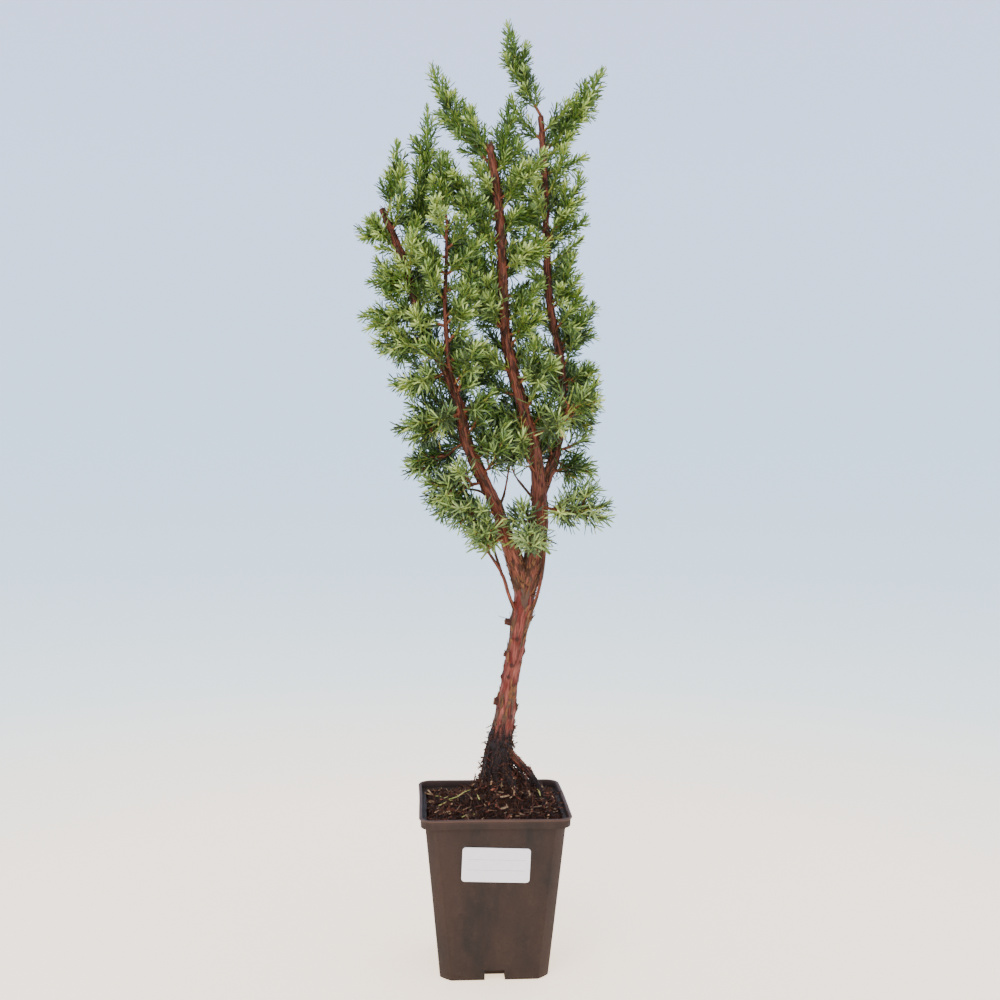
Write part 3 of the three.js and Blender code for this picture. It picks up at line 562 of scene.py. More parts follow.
# %% One flake
def strip_shape(name, steps=3, curl=0.35, thick=0.06, ends=0.35):
    """A closed strip from Y = 0 to 1 that narrows to its ends and curls up."""
    rows = []
    for i in range(steps + 1):
        y = i / steps
        half = 0.5 * (ends + (1 - ends) * math.sin(math.pi * (0.15 + 0.7 * y)))
        lift = curl * y * y
        rows += [(-half, y, lift - 0.1 * half), (half, y, lift - 0.1 * half), (0, y, lift + thick)]
    faces = [(0, 2, 1), (3 * steps, 3 * steps + 1, 3 * steps + 2)] + quads(steps + 1, 3)
    return put(name, rows, faces, smooth=False)


flake_shape = strip_shape("flake_shape")
FLAKE_FACES = len(flake_shape.data.polygons)
print("one flake has", FLAKE_FACES, "faces")


# %% Scatter the flakes in two tones
def made_by(tree, name, base, **inputs):
    """Runs a node tree on a piece and keeps the result as a plain mesh of its own."""
    modifier = base.modifiers.new(name, "NODES")
    modifier.node_group = tree
    for item in tree.interface.items_tree:
        key = item.name.replace(" ", "_").lower()
        if item.in_out == "INPUT" and key in inputs:
            modifier[item.identifier] = inputs[key]
    depsgraph = bpy.context.evaluated_depsgraph_get()
    mesh = bpy.data.meshes.new_from_object(base.evaluated_get(depsgraph), depsgraph=depsgraph)
    base.modifiers.remove(modifier)
    piece = bpy.data.objects.new(name, mesh)
    bpy.context.scene.collection.objects.link(piece)
    return piece


flake_tones = {}
for tone, light, dark, rough in (("brown", "#8a5b39", "#573420", 0.8), ("grey", "#67503f", "#3b271c", 0.9)):
    material, tree, shader = finish(f"{tone} bark flake", Roughness=rough, Specular_IOR_Level=0.2)
    spots = add(tree, "ShaderNodeTexCoord").outputs["Object"]
    mottle = add(tree, "ShaderNodeTexNoise", {"Vector": spots, "Scale": 600.0, "Detail": 2.0}).outputs[0]
    colour = add(tree, "ShaderNodeMix", {0: mottle, 6: linear(dark), 7: linear(light)}, data_type="RGBA")
    tree.links.new(colour.outputs[2], shader.inputs["Base Color"])
    flake_tones[tone] = material

flakes = []
for n, (host, per_metre, small, large) in enumerate([
    (trunk_bark, 60000, (0.8, 2.0, 1.0), (2.0, 6.5, 2.6)),
    (limb_barks["left"], 110000, (0.5, 1.6, 0.8), (1.2, 4.8, 2.2)),
    (limb_barks["centre"], 110000, (0.5, 1.6, 0.8), (1.2, 5.0, 2.4)),
    (limb_barks["right"], 80000, (0.4, 1.4, 0.7), (1.0, 3.4, 1.6)),
]):
    for k, (tone, material) in enumerate(flake_tones.items()):
        flakes.append(made_by(
            along_bark, f"flakes_{n}_{tone}", host, shape=flake_shape, smallest=small, largest=large,
            tilt=0.12, per_square_metre=per_metre * (1 - 0.5 * k), seed=3 + n + 10 * k, finish=material,
        ))
bark_flakes = join("bark_flakes", flakes)
print("flakes:", len(bark_flakes.data.polygons) // FLAKE_FACES)


# %% [markdown]
# The rule of the crown
#
# Each mass of foliage is a shoot that leaves its limb at a known height, direction and rise, turns up to
# the light, and carries side twigs all round that get shorter towards its tip, so that the spray comes to
# a point. These are the shoots of the solids, a few millimetres shorter to leave room for the needles.
# Here every side twig carries smaller twigs too, and each of them ends in needles. A twig that would come
# nearer to another mass's shoot than to its own, or touch a limb, is cut short or left out, which keeps
# the sky between the sprays.

# %% Where the masses leave their limbs
# A mass is the height where it leaves its limb, then the direction, rise and length of each of its shoots.
MASSES = {
    "right": [
        (517, (194, 68, 60)), (495, (344, 53, 64)), (442, (322, 57, 48)), (400, (312, 40, 32)),
        (374, (20, 53, 42)), (357, (325, 13, 29)), (344, (303, -35, 34)), (308, (350, -16, 30)),
        (462, (80, 48, 40)), (412, (62, 38, 40)), (350, (75, 30, 42), (55, 4, 38)),
    ],
    "centre": [
        (478, (45, 74, 49)), (463, (315, 34, 50)), (448, (20, 30, 37)), (422, (325, 27, 44)),
        (399, (30, 31, 33)), (383, (325, 24, 31)), (355, (348, 30, 30), (312, 18, 32)), (322, (321, 35, 61)),
        (483, (160, 58, 78)), (436, (207, 51, 69)), (409, (160, 56, 56), (192, 40, 40)), (387, (218, 49, 50)),
        (363, (155, 21, 36), (212, 26, 31)), (334, (200, 6, 36)), (314, (220, 15, 33)),
        (272, (235, 5, 42), (262, -22, 45)), (280, (313, 2, 56)), (455, (105, 46, 44)),
        (390, (122, 38, 44), (82, 20, 42)), (320, (120, 22, 44), (90, -2, 42)),
    ],
    "thin": [(448, (240, 77, 39)), (417, (215, 44, 38)), (388, (310, 41, 35))],
    "left": [
        (451, (339, 81, 46)), (427, (12, 81, 92)), (440, (215, 24, 26), (155, 10, 23)),
        (411, (158, 8, 32), (200, 24, 24)), (398, (207, -23, 39), (170, -1, 32)),
        (383, (148, -19, 37), (195, -6, 30)), (360, (212, -14, 35), (165, -11, 32)),
        (336, (214, -10, 44), (172, -12, 38)), (319, (150, -20, 45), (186, -28, 36)),
        (295, (204, -1, 45), (178, -14, 34)), (277, (218, 7, 45), (168, 9, 39)),
        (261, (236, 10, 44), (196, -12, 39)), (404, (85, 32, 36)), (332, (95, 24, 42), (122, -2, 40)),
        (268, (128, -6, 38)),
    ],
}
print("masses on each limb:", {name: len(rows) for name, rows in MASSES.items()})


# %% Shoots of the masses
FORK_SHARE, SHOOT_BOW = 0.22, 14
SHORTER, NEEDLE_ROOM, ROOM_ASIDE = 1, 3, 2.5
UP = Vector((0, 0, 1))


def heading(direction, rise):
    """A way of length 1 from its direction seen from above and its rise, in degrees."""
    turn, lift = math.radians(direction), math.radians(rise)
    return Vector((math.cos(lift) * math.cos(turn), math.cos(lift) * math.sin(turn), math.sin(lift)))


def bow(start, bend, tip, steps):
    """Points on a curve from start to tip that leans towards bend."""
    shares = [i / steps for i in range(steps + 1)]
    return [start * (1 - t) ** 2 + bend * 2 * t * (1 - t) + tip * t * t for t in shares]


def shoot_points(start, direction, rise, length):
    """A shoot leaves its limb flatter than it ends, and stops short by as far as its needles reach on."""
    aside = abs(math.cos(math.radians(direction)))
    length -= SHORTER + (NEEDLE_ROOM + ROOM_ASIDE * aside) * math.cos(math.radians(rise))
    bend = start + heading(direction, rise - SHOOT_BOW) * length * 0.5
    return bow(start, bend, start + heading(direction, rise) * length, max(8, round(length / 2.5)))


limb_points = {}
for limb_name, stations in limbs.items():
    spine, thickness, _ = smooth_path(stations, 1)
    limb_points[limb_name] = [(Vector(p), r) for p, r in zip(spine, thickness)]

masses = []
for limb_name, rows in MASSES.items():
    for number, (height, first, *others) in enumerate(rows, 1):
        start = min((p for p, _ in limb_points[limb_name]), key=lambda p: abs(p.z - height))
        stem = shoot_points(start, *first)
        fork = stem[round(FORK_SHARE * (len(stem) - 1))]
        stems = [stem] + [shoot_points(fork, *other) for other in others]
        masses.append({"node": f"{limb_name}_foliage_{number:02d}", "limb": limb_name, "stems": stems})
print("masses:", len(masses), "shoots:", sum(len(mass["stems"]) for mass in masses))


# %% [markdown]
# Room for a twig
#
# To know whose space a point is in, all shoots are put in one search tree, and another holds the wood. A
# search tree finds the nearest of thousands of points at once, which a plain loop would make slow. The
# limbs show bare on their front side, as on a tree that has been wired, so few twigs may end before them.
# One stretch of the left limb is left out of this, because foliage veils it.

# %% Search trees for shoots and wood
def search_tree(places):
    """A tree that finds the places nearest to a point."""
    tree = kdtree.KDTree(len(places))
    for i, place in enumerate(places):
        tree.insert(place, i)
    tree.balance()
    return tree


stem_places = [(p, owner) for owner, mass in enumerate(masses) for stem in mass["stems"] for p in stem]
stem_search = search_tree([p for p, _ in stem_places])
wood_places = [pair for pairs in limb_points.values() for pair in pairs]
wood_search = search_tree([p for p, _ in wood_places])


def is_free(place, owner, nearest=16, margin=0.8):
    """Whether a point is clear of the limbs and, if it has an owner, in that mass's own space."""
    _, i, distance = wood_search.find(place)
    if distance < wood_places[i][1] + margin:
        return False
    return owner is None or any(stem_places[j][1] == owner for _, j, _ in stem_search.find_n(place, nearest))


LOWEST_TIP, LOWEST_NEEDLE = 259, 252
BARE_ABOVE = {"right": 292, "centre": 292, "thin": 292, "left": 236}
VEILED = {"left": (360, 424)}
wood_at = {}
for limb_name, pairs in limb_points.items():
    low, high = VEILED.get(limb_name, (0, 0))
    for place, radius in pairs:
        if place.z > BARE_ABOVE[limb_name] and not low < place.z < high:
            wood_at.setdefault(round(place.z), []).append((place, radius))


def hides_limb(place, margin):
    """Whether a point stands before a limb, on the side where the photograph shows the wood bare."""
    return any(place.y < p.y and abs(place.x - p.x) < r + margin for p, r in wood_at.get(round(place.z), ()))


print("places on shoots:", len(stem_places), "on wood:", len(wood_places))


# %% [markdown]
# Twigs and needles
#
# A spray of this juniper is a narrow plume: a yellow-green shoot with side twigs that leave it by the
# golden angle, so that no two shade each other, and smaller twigs on those in two ranks. Needles sit in
# rings of three, each ring turned by a sixth, as a juniper's young leaves do. Low in the crown they are
# long and spread wide, high up they are short and lean along the twig. The code only notes where each
# needle sits, which way it points and which way its upper face looks. A node tree draws them afterwards.

# %% Sizes of the sprays, and the tint of one
GOLDEN = math.radians(137.5)
# Low in the crown the grey-green tint may be dealt out; its pale band is bloom with painted sheen.
LOW_CROWN, HIGH_CROWN, BLOOM_AND_SHEEN_BELOW = 290, 430, 300
SPARSE_FROM, SPARSE_TO, SPARSER = 310, 270, 0.35
SIDE_STEP, SMALL_STEP, RING_STEP = 3.25, 4.8, 2.15
SIDE_LONGEST, SMALL_LONGEST, FORKS_FROM = 16.0, 7.0, 10.5
TWIG_RADII, TWIG_TAPER = (1.0, 0.55, 0.4), 0.55
NEEDLE_LONG, HIGH_SHORTER, NEEDLE_WIDE = 10.2, 3.3, (0.85, 1.1)
NEEDLE_LEAN, HIGH_STEEPER = 51, 6
TINTS = ["tip", "young", "grown", "shade", "bloomed", "dry"]
twigs = {name: [] for name in MASSES}
needles = {name: [] for name in MASSES}


def height_share(z):
    """0 in the low crown, 1 in the high crown."""
    return ramp(LOW_CROWN, HIGH_CROWN, z)


def green_from(z):
    """The share of a spray that is bare at its foot: a fifth low down, a tenth high up."""
    return 0.2 - 0.11 * height_share(z)


def length_along(points):
    """The length of a path."""
    return sum((b - a).length for a, b in zip(points, points[1:]))


def read_path(points, share):
    """The place and the way of a path at a share of its points, and two ways across it."""
    at = share * (len(points) - 1)
    i = min(int(at), len(points) - 2)
    along = (points[i + 1] - points[i]).normalized()
    side = along.cross(UP if abs(along.z) < 0.9 else Vector((1, 0, 0))).normalized()
    return points[i].lerp(points[i + 1], at - i), along, side, along.cross(side)


def choose_tint(place, share, rand):
    """The tint of a spray: bright high up and at its tips, partly young growth and partly painted light;
    grey-green and dark low down and inside, the dark as painted shade.
    """
    # Painted light and shade: the light share grows with height and towards the tip, and low values give the
    # dark shade tint.
    light = 0.5 * height_share(place.z) + 0.35 * share + rand.gauss(0, 0.2)
    if light > 0.6:
        return "young"
    if light > 0.25:
        return "grown"
    return rand.choice(["grown", "shade", "shade" if place.z > BLOOM_AND_SHEEN_BELOW else "bloomed"])


print("rings of needles are", RING_STEP, "mm apart")


# %% Note the rings of needles along a twig
def set_rings(limb_name, points, level, tint, rand):
    """Notes rings of three needles along a twig. They get shorter and close up towards its tip."""
    length = length_along(points)
    first = (green_from(points[0].z), 0.14, 0.1)[level]
    step = RING_STEP * (1.2 - 0.2 * height_share(points[0].z))
    steps = max(1, round(length * (1 - first) / step))
    for i in range(steps + 1):
        share = first + (1 - first) * i / steps
        place, along, side, other = read_path(points, min(share, 0.999))
        if hides_limb(place, 1.4) and rand.random() < 0.88:
            continue
        high = height_share(place.z)
        near_tip = ramp((8.0, 4.0, 3.0)[level], 0.0, length * (1 - share))
        for k in range(3):
            turn = (k + 0.5 * (i % 2)) * math.tau / 3 + rand.gauss(0, 0.2)
            closed = (0.36 + 0.08 * high) * near_tip
            lean = math.radians((1 - closed) * (NEEDLE_LEAN - HIGH_STEEPER * high) + rand.gauss(0, 6))
            out = side * math.cos(turn) + other * math.sin(turn)
            aim = along * math.cos(lean) + out * math.sin(lean)
            face = along * math.sin(lean) - out * math.cos(lean)
            reach = (NEEDLE_LONG - HIGH_SHORTER * high) * (0.8, 1.0, 0.9)[level] * rand.uniform(0.8, 1.15)
            reach *= 1 - (0.25 + 0.1 * high) * near_tip
            if place.z + aim.z * reach < LOWEST_NEEDLE:
                continue
            hue = tint
            if tint in ("young", "grown") and near_tip > 0.45 and rand.random() < 0.65:
                hue = "tip" if tint == "young" else "young"
            elif rand.random() < 0.15:
                hue = rand.choice(["grown", "shade", "young"])
            elif rand.random() < 0.008 * (1 - high):
                hue = "dry"
            needles[limb_name].append((place + out * 0.3, aim, face, reach, rand.uniform(*NEEDLE_WIDE), hue))


print("a needle is about", NEEDLE_LONG, "mm long low down,", round(NEEDLE_LONG - HIGH_SHORTER, 1), "high up")


# %% Grow a twig with its side twigs
def room_for(place, way, full, owner, rand):
    """The tip of a side twig, cut short as far as its room asks, or nothing."""
    bold = rand.random() < 0.08
    for cut in (1, 0.8, 0.6, 0.45):
        tip = place + way * full * cut
        if tip.z < LOWEST_TIP or hides_limb(tip, 2.5) and not bold:
            continue
        if is_free(tip, owner) and is_free(place.lerp(tip, 0.6), owner, margin=0.4):
            return tip
    return None


def side_length(level, length, share, high):
    """How long a side twig grows: long at the foot of a spray, short at its tip and high in the crown."""
    if level == 0:
        return min(SIDE_LONGEST - 3.5 * high, 3.2 + (0.34 - 0.06 * high) * length * (1 - share))
    return min(SMALL_LONGEST, 2.5 + 0.45 * length * (1 - share))


def grow_twig(limb_name, owner, points, level, rand, tint=None):
    """Notes a twig with its side twigs, then its rings of needles."""
    length = length_along(points)
    twigs[limb_name].append((points, TWIG_RADII[level], level, tint))
    turn = rand.uniform(0, math.tau)
    gone = length * (green_from(points[0].z), 0.26, 1)[level]
    while gone < length * (0.9, 0.7 if length > FORKS_FROM else 0, 0)[level]:
        share = gone / length
        place, along, side, other = read_path(points, share)
        out = side * math.cos(turn) + other * math.sin(turn)
        high = height_share(place.z)
        sparse = 1 + SPARSER * ramp(SPARSE_FROM, SPARSE_TO, place.z)
        gone += (SIDE_STEP, SMALL_STEP)[level] * sparse * rand.uniform(0.75, 1.25)
        turn += GOLDEN + rand.gauss(0, 0.2) if level == 0 else math.pi + rand.gauss(0, 0.5)
        lean = math.radians(rand.gauss(45 - 12 * share - 7 * high, 5))
        way = (along * math.cos(lean) + out * math.sin(lean) + UP * 0.08).normalized()
        full = side_length(level, length, share, high) * rand.uniform(0.8, 1.15)
        tip = room_for(place, way, full, owner, rand)
        if tip is None:
            continue
        bend = place + (tip - place) * 0.5 - along * 0.04 * full
        own_tint = choose_tint(tip, share, rand) if level == 0 else tint
        grow_twig(limb_name, owner, bow(place, bend, tip, 5 - 2 * level), level + 1, rand, own_tint)
    set_rings(limb_name, points, level, tint or choose_tint(points[-1], 0.8, rand), rand)


print("a side twig is at most", SIDE_LONGEST, "mm long")


# %% [markdown]
# A long shoot forks before it ends: two to four branches leave it, each a spray of its own and shorter
# than what is left of the shoot. Between the shoots that the solids hold, the limb also carries shorter
# ones at even steps, which fill the inside of the crown and its back.

# %% Branches of a shoot, and sprays straight from a limb
SPRAY_STEP, LOWEST_SPRAY, SPRAY_LONG = 5, 296, (25, 39)
BRANCH_SHARES, THREE_FROM, FOUR_FROM = (0.22, 0.36, 0.5, 0.64), 33, 46


def branches(stem, rand):
    """Smaller sprays that leave a shoot between a fifth and two thirds of its length."""
    length = length_along(stem)
    turn = rand.uniform(0, math.tau)
    for share in BRANCH_SHARES[:2 + (length > THREE_FROM) + (length > FOUR_FROM)]:
        place, along, side, other = read_path(stem, share)
        turn += GOLDEN
        out = side * math.cos(turn) + other * math.sin(turn)
        high = height_share(place.z)
        lean = math.radians(rand.gauss(40 - 13 * high, 5))
        way = (along * math.cos(lean) + out * math.sin(lean) + UP * 0.12).normalized()
        reach = ((0.6 - 0.14 * high) * (1 - share) * length + 5 - 2 * high) * rand.uniform(0.85, 1.1)
        bend = place + (way - along * 0.1) * reach * 0.5
        yield bow(place, bend, place + way * reach, max(6, round(reach / 3)))


def limb_sprays(limb_name, rand):
    """Short shoots along a limb, each turned by the golden angle and on to where it has room."""
    pairs = limb_points[limb_name]
    turn = rand.uniform(0, 360)
    for i in range(8, len(pairs) - 6, SPRAY_STEP):
        place, radius = pairs[i]
        if place.z < LOWEST_SPRAY:
            continue
        turn += math.degrees(GOLDEN)
        for attempt in range(5):
            stem = shoot_points(place, turn + 53 * attempt, rand.uniform(20, 62), rand.uniform(*SPRAY_LONG))
            middle, tip = stem[len(stem) // 2], stem[-1]
            if is_free(middle, None, margin=3) and is_free(tip, None, margin=5) and not (
                    hides_limb(middle, 2) or hides_limb(tip, 2)):
                yield stem
                break


print("a shoot has two to", len(BRANCH_SHARES), "branches")


# %% Grow the whole crown
for owner, mass in enumerate(masses):
    rand = random.Random(101 + 13 * owner)
    for stem in mass["stems"]:
        stem = [point for point in stem if point.z > LOWEST_TIP - 4]
        grow_twig(mass["limb"], owner, stem, 0, rand)
        for branch in branches(stem, rand):
            grow_twig(mass["limb"], owner, branch, 0, rand)
for limb_name in MASSES:
    rand = random.Random(7 + len(limb_name))
    for stem in limb_sprays(limb_name, rand):
        grow_twig(limb_name, None, stem, 0, rand)
print("twigs:", {name: len(rows) for name, rows in twigs.items()})
print("needles:", {name: len(rows) for name, rows in needles.items()}, sum(map(len, needles.values())))


# %% [markdown]
# Drawing the twigs
#
# A twig is a path with a thickness. A node tree turns each string of edges into a curve and sweeps a
# four-sided ring along it. Young twigs are green, and older ones red-brown, so the path says how woody
# it is at each point and the tree picks one of two finishes by it.

# %% Twig tree and its two finishes
def twig_tree():
    """Sweeps a ring along every path, as thick as its attribute says, in the finish its age asks for."""
    tree, given = new_tree("twigs along their paths", [
        ("Sides", "Int"), ("Young", "Material"), ("Woody", "Material"),
    ])
    thick = add(tree, "GeometryNodeInputNamedAttribute", {"Name": "thick"}, data_type="FLOAT").outputs[0]
    age = add(tree, "GeometryNodeInputNamedAttribute", {"Name": "age"}, data_type="FLOAT").outputs[0]
    curves = add(tree, "GeometryNodeMeshToCurve", {"Mesh": given["Geometry"]})
    ring = add(tree, "GeometryNodeCurvePrimitiveCircle", {"Resolution": given["Sides"], "Radius": 1.0})
    swept = add(tree, "GeometryNodeCurveToMesh", {
        "Curve": curves.outputs[0], "Profile Curve": ring.outputs[0], "Scale": thick, "Fill Caps": True,
    })
    green = add(tree, "GeometryNodeSetMaterial", {"Geometry": swept.outputs[0], "Material": given["Young"]})
    is_woody = add(tree, "FunctionNodeCompare", {0: age, 1: 0.5}, operation="GREATER_THAN")
    brown = add(tree, "GeometryNodeSetMaterial", {
        "Geometry": green.outputs[0], "Selection": is_woody.outputs[0], "Material": given["Woody"],
    })
    real = add(tree, "GeometryNodeRealizeInstances", {"Geometry": brown.outputs[0]})
    add(tree, "NodeGroupOutput", {"Geometry": real.outputs[0]})
    return tree


def plant_finish(name, light, dark, rough, size=2.0):
    """A dull skin that goes from light to dark in patches as large as size, in millimetres."""
    material, tree, shader = finish(name, Roughness=rough, Specular_IOR_Level=0.4)
    place = add(tree, "ShaderNodeTexCoord").outputs["Object"]
    mottle = add(tree, "ShaderNodeTexNoise", {"Vector": place, "Scale": 1 / (size * MM), "Detail": 2.0})
    mottle = mottle.outputs[0]
    share = add(tree, "ShaderNodeMapRange", {0: mottle, 1: 0.35, 2: 0.65}).outputs[0]
    colour = add(tree, "ShaderNodeMix", {0: share, 6: linear(dark), 7: linear(light)}, data_type="RGBA")
    tree.links.new(colour.outputs[2], shader.inputs["Base Color"])
    bump = add(tree, "ShaderNodeBump", {"Height": mottle, "Strength": 0.5, "Distance": 0.1 * size * MM})
    tree.links.new(bump.outputs[0], shader.inputs["Normal"])
    return material


young_twig = plant_finish("young twig skin", "#a3a845", "#74802e", 0.55)
woody_twig = plant_finish("woody twig bark", "#9c5a36", "#552a17", 0.8, size=1.2)
print("twig finishes:", young_twig.name, "and", woody_twig.name)


# %% Draw the twigs of each limb
def draw_twigs(limb_name):
    """One mesh of all twigs of a limb, swept along the paths that were noted."""
    places, edges, thicks, ages = [], [], [], []
    for points, thick, level, tint in twigs[limb_name]:
        last = len(points) - 1
        for i, place in enumerate(points):
            share = i / last
            edges += [(len(places), len(places) + 1)] if i < last else []
            places.append(place)
            thicks.append((thick * (1 - TWIG_TAPER * share)) * MM)
            high = height_share(place.z)
            woody = (0.85, 0.35, 0.1)[level] - (1.5 + high, 0.6, 0.2)[level] * share + 0.55 * (1 - high)
            ages.append(1.0 if tint == "dry" else woody)
    paths = put(f"{limb_name}_paths", places, [], edges)
    tag(paths, "thick", "FLOAT", thicks)
    tag(paths, "age", "FLOAT", ages)
    piece = made_by(twig_paths, f"{limb_name}_twigs", paths, sides=4, young=young_twig, woody=woody_twig)
    bpy.data.objects.remove(paths)
    return piece


twig_paths = twig_tree()
twig_pieces = {name: draw_twigs(name) for name in twigs}
print("twig faces:", {name: len(piece.data.polygons) for name, piece in twig_pieces.items()})


# %% [markdown]
# Drawing the needles
#
# One needle is an awl: three-sided, flat on its upper face, which carries a pale waxy band, widest at
# three quarters of its length and sharp at its end. It has only seven faces, as it is repeated tens of
# thousands of times. The node tree sets a copy on each noted place: its long axis along the needle's way,
# its upper face turned to the twig, its size in millimetres as its scale. The tints are plain colours
# dealt out by spray. The band is painted paler than its wax alone, as painted sheen, and the dark shade
# tint is painted shade low down and inside the crown.

# %% One needle, and the tints of sprays
def needle_shape():
    """An awl one millimetre long along Z and one wide, with its upper face towards X."""
    points = []
    for z, wide, bowed in ((0.0, 0.7, 0.0), (0.76, 0.95, -0.04)):
        front, back, half = bowed + 0.12 * wide, bowed - 0.36 * wide, 0.5 * wide
        points += [(front, half, z), (back, 0, z), (front, -half, z)]
    points.append((0.04, 0, 1.0))
    faces = [(2, 1, 0)] + quads(2, 3)
    faces += [(3 + k, 3 + (k + 1) % 3, 6) for k in range(3)]
    shape = put("needle_shape", points, faces, smooth=False)
    upper = shape.data.attributes.new("upper", "FLOAT", "FACE")
    upper.data.foreach_set("value", [1.0 if face in (3, 6) else 0.0 for face in range(len(faces))])
    return shape


needle_template = needle_shape()
# Back and band colour of each tint. The bands are paler than the wax alone, as painted sheen; the dark shade
# pair is painted shade, and the grey-green pair is bloom with painted sheen on its band.
NEEDLE_COLOURS = {
    "tip": ("#8f9f33", "#cdd87e"), "young": ("#577322", "#a8b960"), "grown": ("#385016", "#728545"),
    "shade": ("#1f2d0e", "#46532b"), "bloomed": ("#4d6032", "#9aab68"), "dry": ("#b59f45", "#cdb968"),
}
needle_finishes = {}
for tint, (back, band) in NEEDLE_COLOURS.items():
    needle_finishes[tint] = [
        finish(f"{tint} needle {part}", colour, Roughness=rough, Specular_IOR_Level=0.45)[0]
        for part, colour, rough in (("back", back, 0.42), ("band", band, 0.55))
    ]
print("a needle has", len(needle_template.data.polygons), "faces and", len(TINTS), "tints")


# %% A node tree that sets needles
def needle_tree():
    """Copies the needle to each place, turned and sized by its attributes, in its spray's tint."""
    finishes = [(f"{tint} {part}", "Material") for tint in TINTS for part in ("back", "band")]
    tree, given = new_tree("needles on their places", [("Shape", "Object"), *finishes])
    noted = {
        name: add(tree, "GeometryNodeInputNamedAttribute", {"Name": name}, data_type=kind).outputs[0]
        for name, kind in (("aim", "FLOAT_VECTOR"), ("face", "FLOAT_VECTOR"), ("size", "FLOAT_VECTOR"),
                           ("tint", "FLOAT"), ("upper", "FLOAT"))
    }
    aimed = add(tree, "FunctionNodeAlignRotationToVector", {"Vector": noted["aim"]}, axis="Z")
    turned = add(tree, "FunctionNodeAlignRotationToVector",
                 {"Rotation": aimed.outputs[0], "Vector": noted["face"]}, axis="X", pivot_axis="Z")
    shape = add(tree, "GeometryNodeObjectInfo", {"Object": given["Shape"]})
    copies = add(tree, "GeometryNodeInstanceOnPoints", {
        "Points": given["Geometry"], "Instance": shape.outputs["Geometry"],
        "Rotation": turned.outputs[0], "Scale": noted["size"],
    })
    flow = add(tree, "GeometryNodeRealizeInstances", {"Geometry": copies.outputs[0]}).outputs[0]
    for i, tint in enumerate(TINTS):
        for j, part in enumerate(("back", "band")):
            code = add(tree, "ShaderNodeMath", {0: noted["tint"], 1: 2.0, 2: noted["upper"]},
                       operation="MULTIPLY_ADD")
            chosen = add(tree, "FunctionNodeCompare", {0: code.outputs[0], 1: 2.0 * i + j, "Epsilon": 0.1},
                         operation="EQUAL")
            flow = add(tree, "GeometryNodeSetMaterial", {
                "Geometry": flow, "Selection": chosen.outputs[0], "Material": given[f"{tint} {part}"],
            }).outputs[0]
    add(tree, "NodeGroupOutput", {"Geometry": flow})
    return tree


needle_setter = needle_tree()
print("nodes in the tree that sets needles:", len(needle_setter.nodes))


# %% Draw the needles of each limb
def draw_needles(name, rows):
    """One mesh of needles from noted rows of place, aim, face, length, width and tint."""
    places, aims, faces, lengths, widths, tints = zip(*rows)
    spots = put(f"{name}_places", places, [])
    tag(spots, "aim", "FLOAT_VECTOR", aims, "vector")
    tag(spots, "face", "FLOAT_VECTOR", faces, "vector")
    tag(spots, "size", "FLOAT_VECTOR", [(w, w, l) for w, l in zip(widths, lengths)], "vector")
    tag(spots, "tint", "FLOAT", [TINTS.index(tint) for tint in tints])
    inputs = {f"{tint}_{part}": material for tint, pair in needle_finishes.items()
              for part, material in zip(("back", "band"), pair)}
    piece = made_by(needle_setter, name, spots, shape=needle_template, **inputs)
    bpy.data.objects.remove(spots)
    return piece


SPLIT_HEIGHT = {"centre": 395, "left": 360}
needle_pieces = {}
for limb_name, rows in needles.items():
    parts = {"": rows}
    if limb_name in SPLIT_HEIGHT:
        split = SPLIT_HEIGHT[limb_name]
        parts = {"low_": [row for row in rows if row[0].z < split],
                 "high_": [row for row in rows if row[0].z >= split]}
    for part, part_rows in parts.items():
        name = f"{limb_name}_{part}needles"
        needle_pieces[name] = (limb_name, draw_needles(name, part_rows))
print("needle triangles:", {name: sum(len(f.vertices) - 2 for f in piece.data.polygons)
                            for name, (_, piece) in needle_pieces.items()})


# %% [markdown]
# The pot
#
# A nursery pot is moulded from thin recycled plastic: a square that tapers downwards, with its corners cut
# off, a drainage notch in the foot of each side, and a wider rim band whose lip stands out a little. The
# body is a loft through square outlines. Each outline comes from one function that mixes a round corner
# with a straight one, and close pairs of outlines make the small radii of a moulded edge.

# %% Sizes of the pot, and its outlines
POT_TOP, POT_HEIGHT = 90, 100
BODY_TOP, BODY_FOOT = 82.8, 64.7
RIM_FOOT = POT_HEIGHT - 5.7
LIP, WALL, GAP = 0.8, 1.2, 0.3
CORNER_CUT, CUT_FLATNESS, RIM_CORNER = 6.5, 0.8, 9
NOTCH_WIDE, NOTCH_TALL, NOTCH_DEEP = 12, 6, 9
DRAIN_RADIUS, DRAIN_OFFSET = 3.5, 19
CORNER_STEPS, SIDE_STEPS, DRAIN_STEPS = 8, 14, 24


def square_ring(across, corner, straight, z):
    """A square outline whose corners are a blend of a quarter circle and a straight cut."""
    half = across / 2
    ring = []
    for side in range(4):
        c, s = math.cos(side * math.pi / 2), math.sin(side * math.pi / 2)
        run = []
        for step in range(CORNER_STEPS + 1):
            share = step / CORNER_STEPS
            turn = share * math.pi / 2
            round_x, round_y = (half - corner * (1 - value) for value in (math.cos(turn), math.sin(turn)))
            cut_x, cut_y = half - corner * share, half - corner * (1 - share)
            run.append(((1 - straight) * round_x + straight * cut_x,
                        (1 - straight) * round_y + straight * cut_y))
        flat = half - corner
        run += [(flat - 2 * flat * step / SIDE_STEPS, half) for step in range(1, SIDE_STEPS)]
        ring += [(x * c - y * s, x * s + y * c, z) for x, y in run]
    return ring


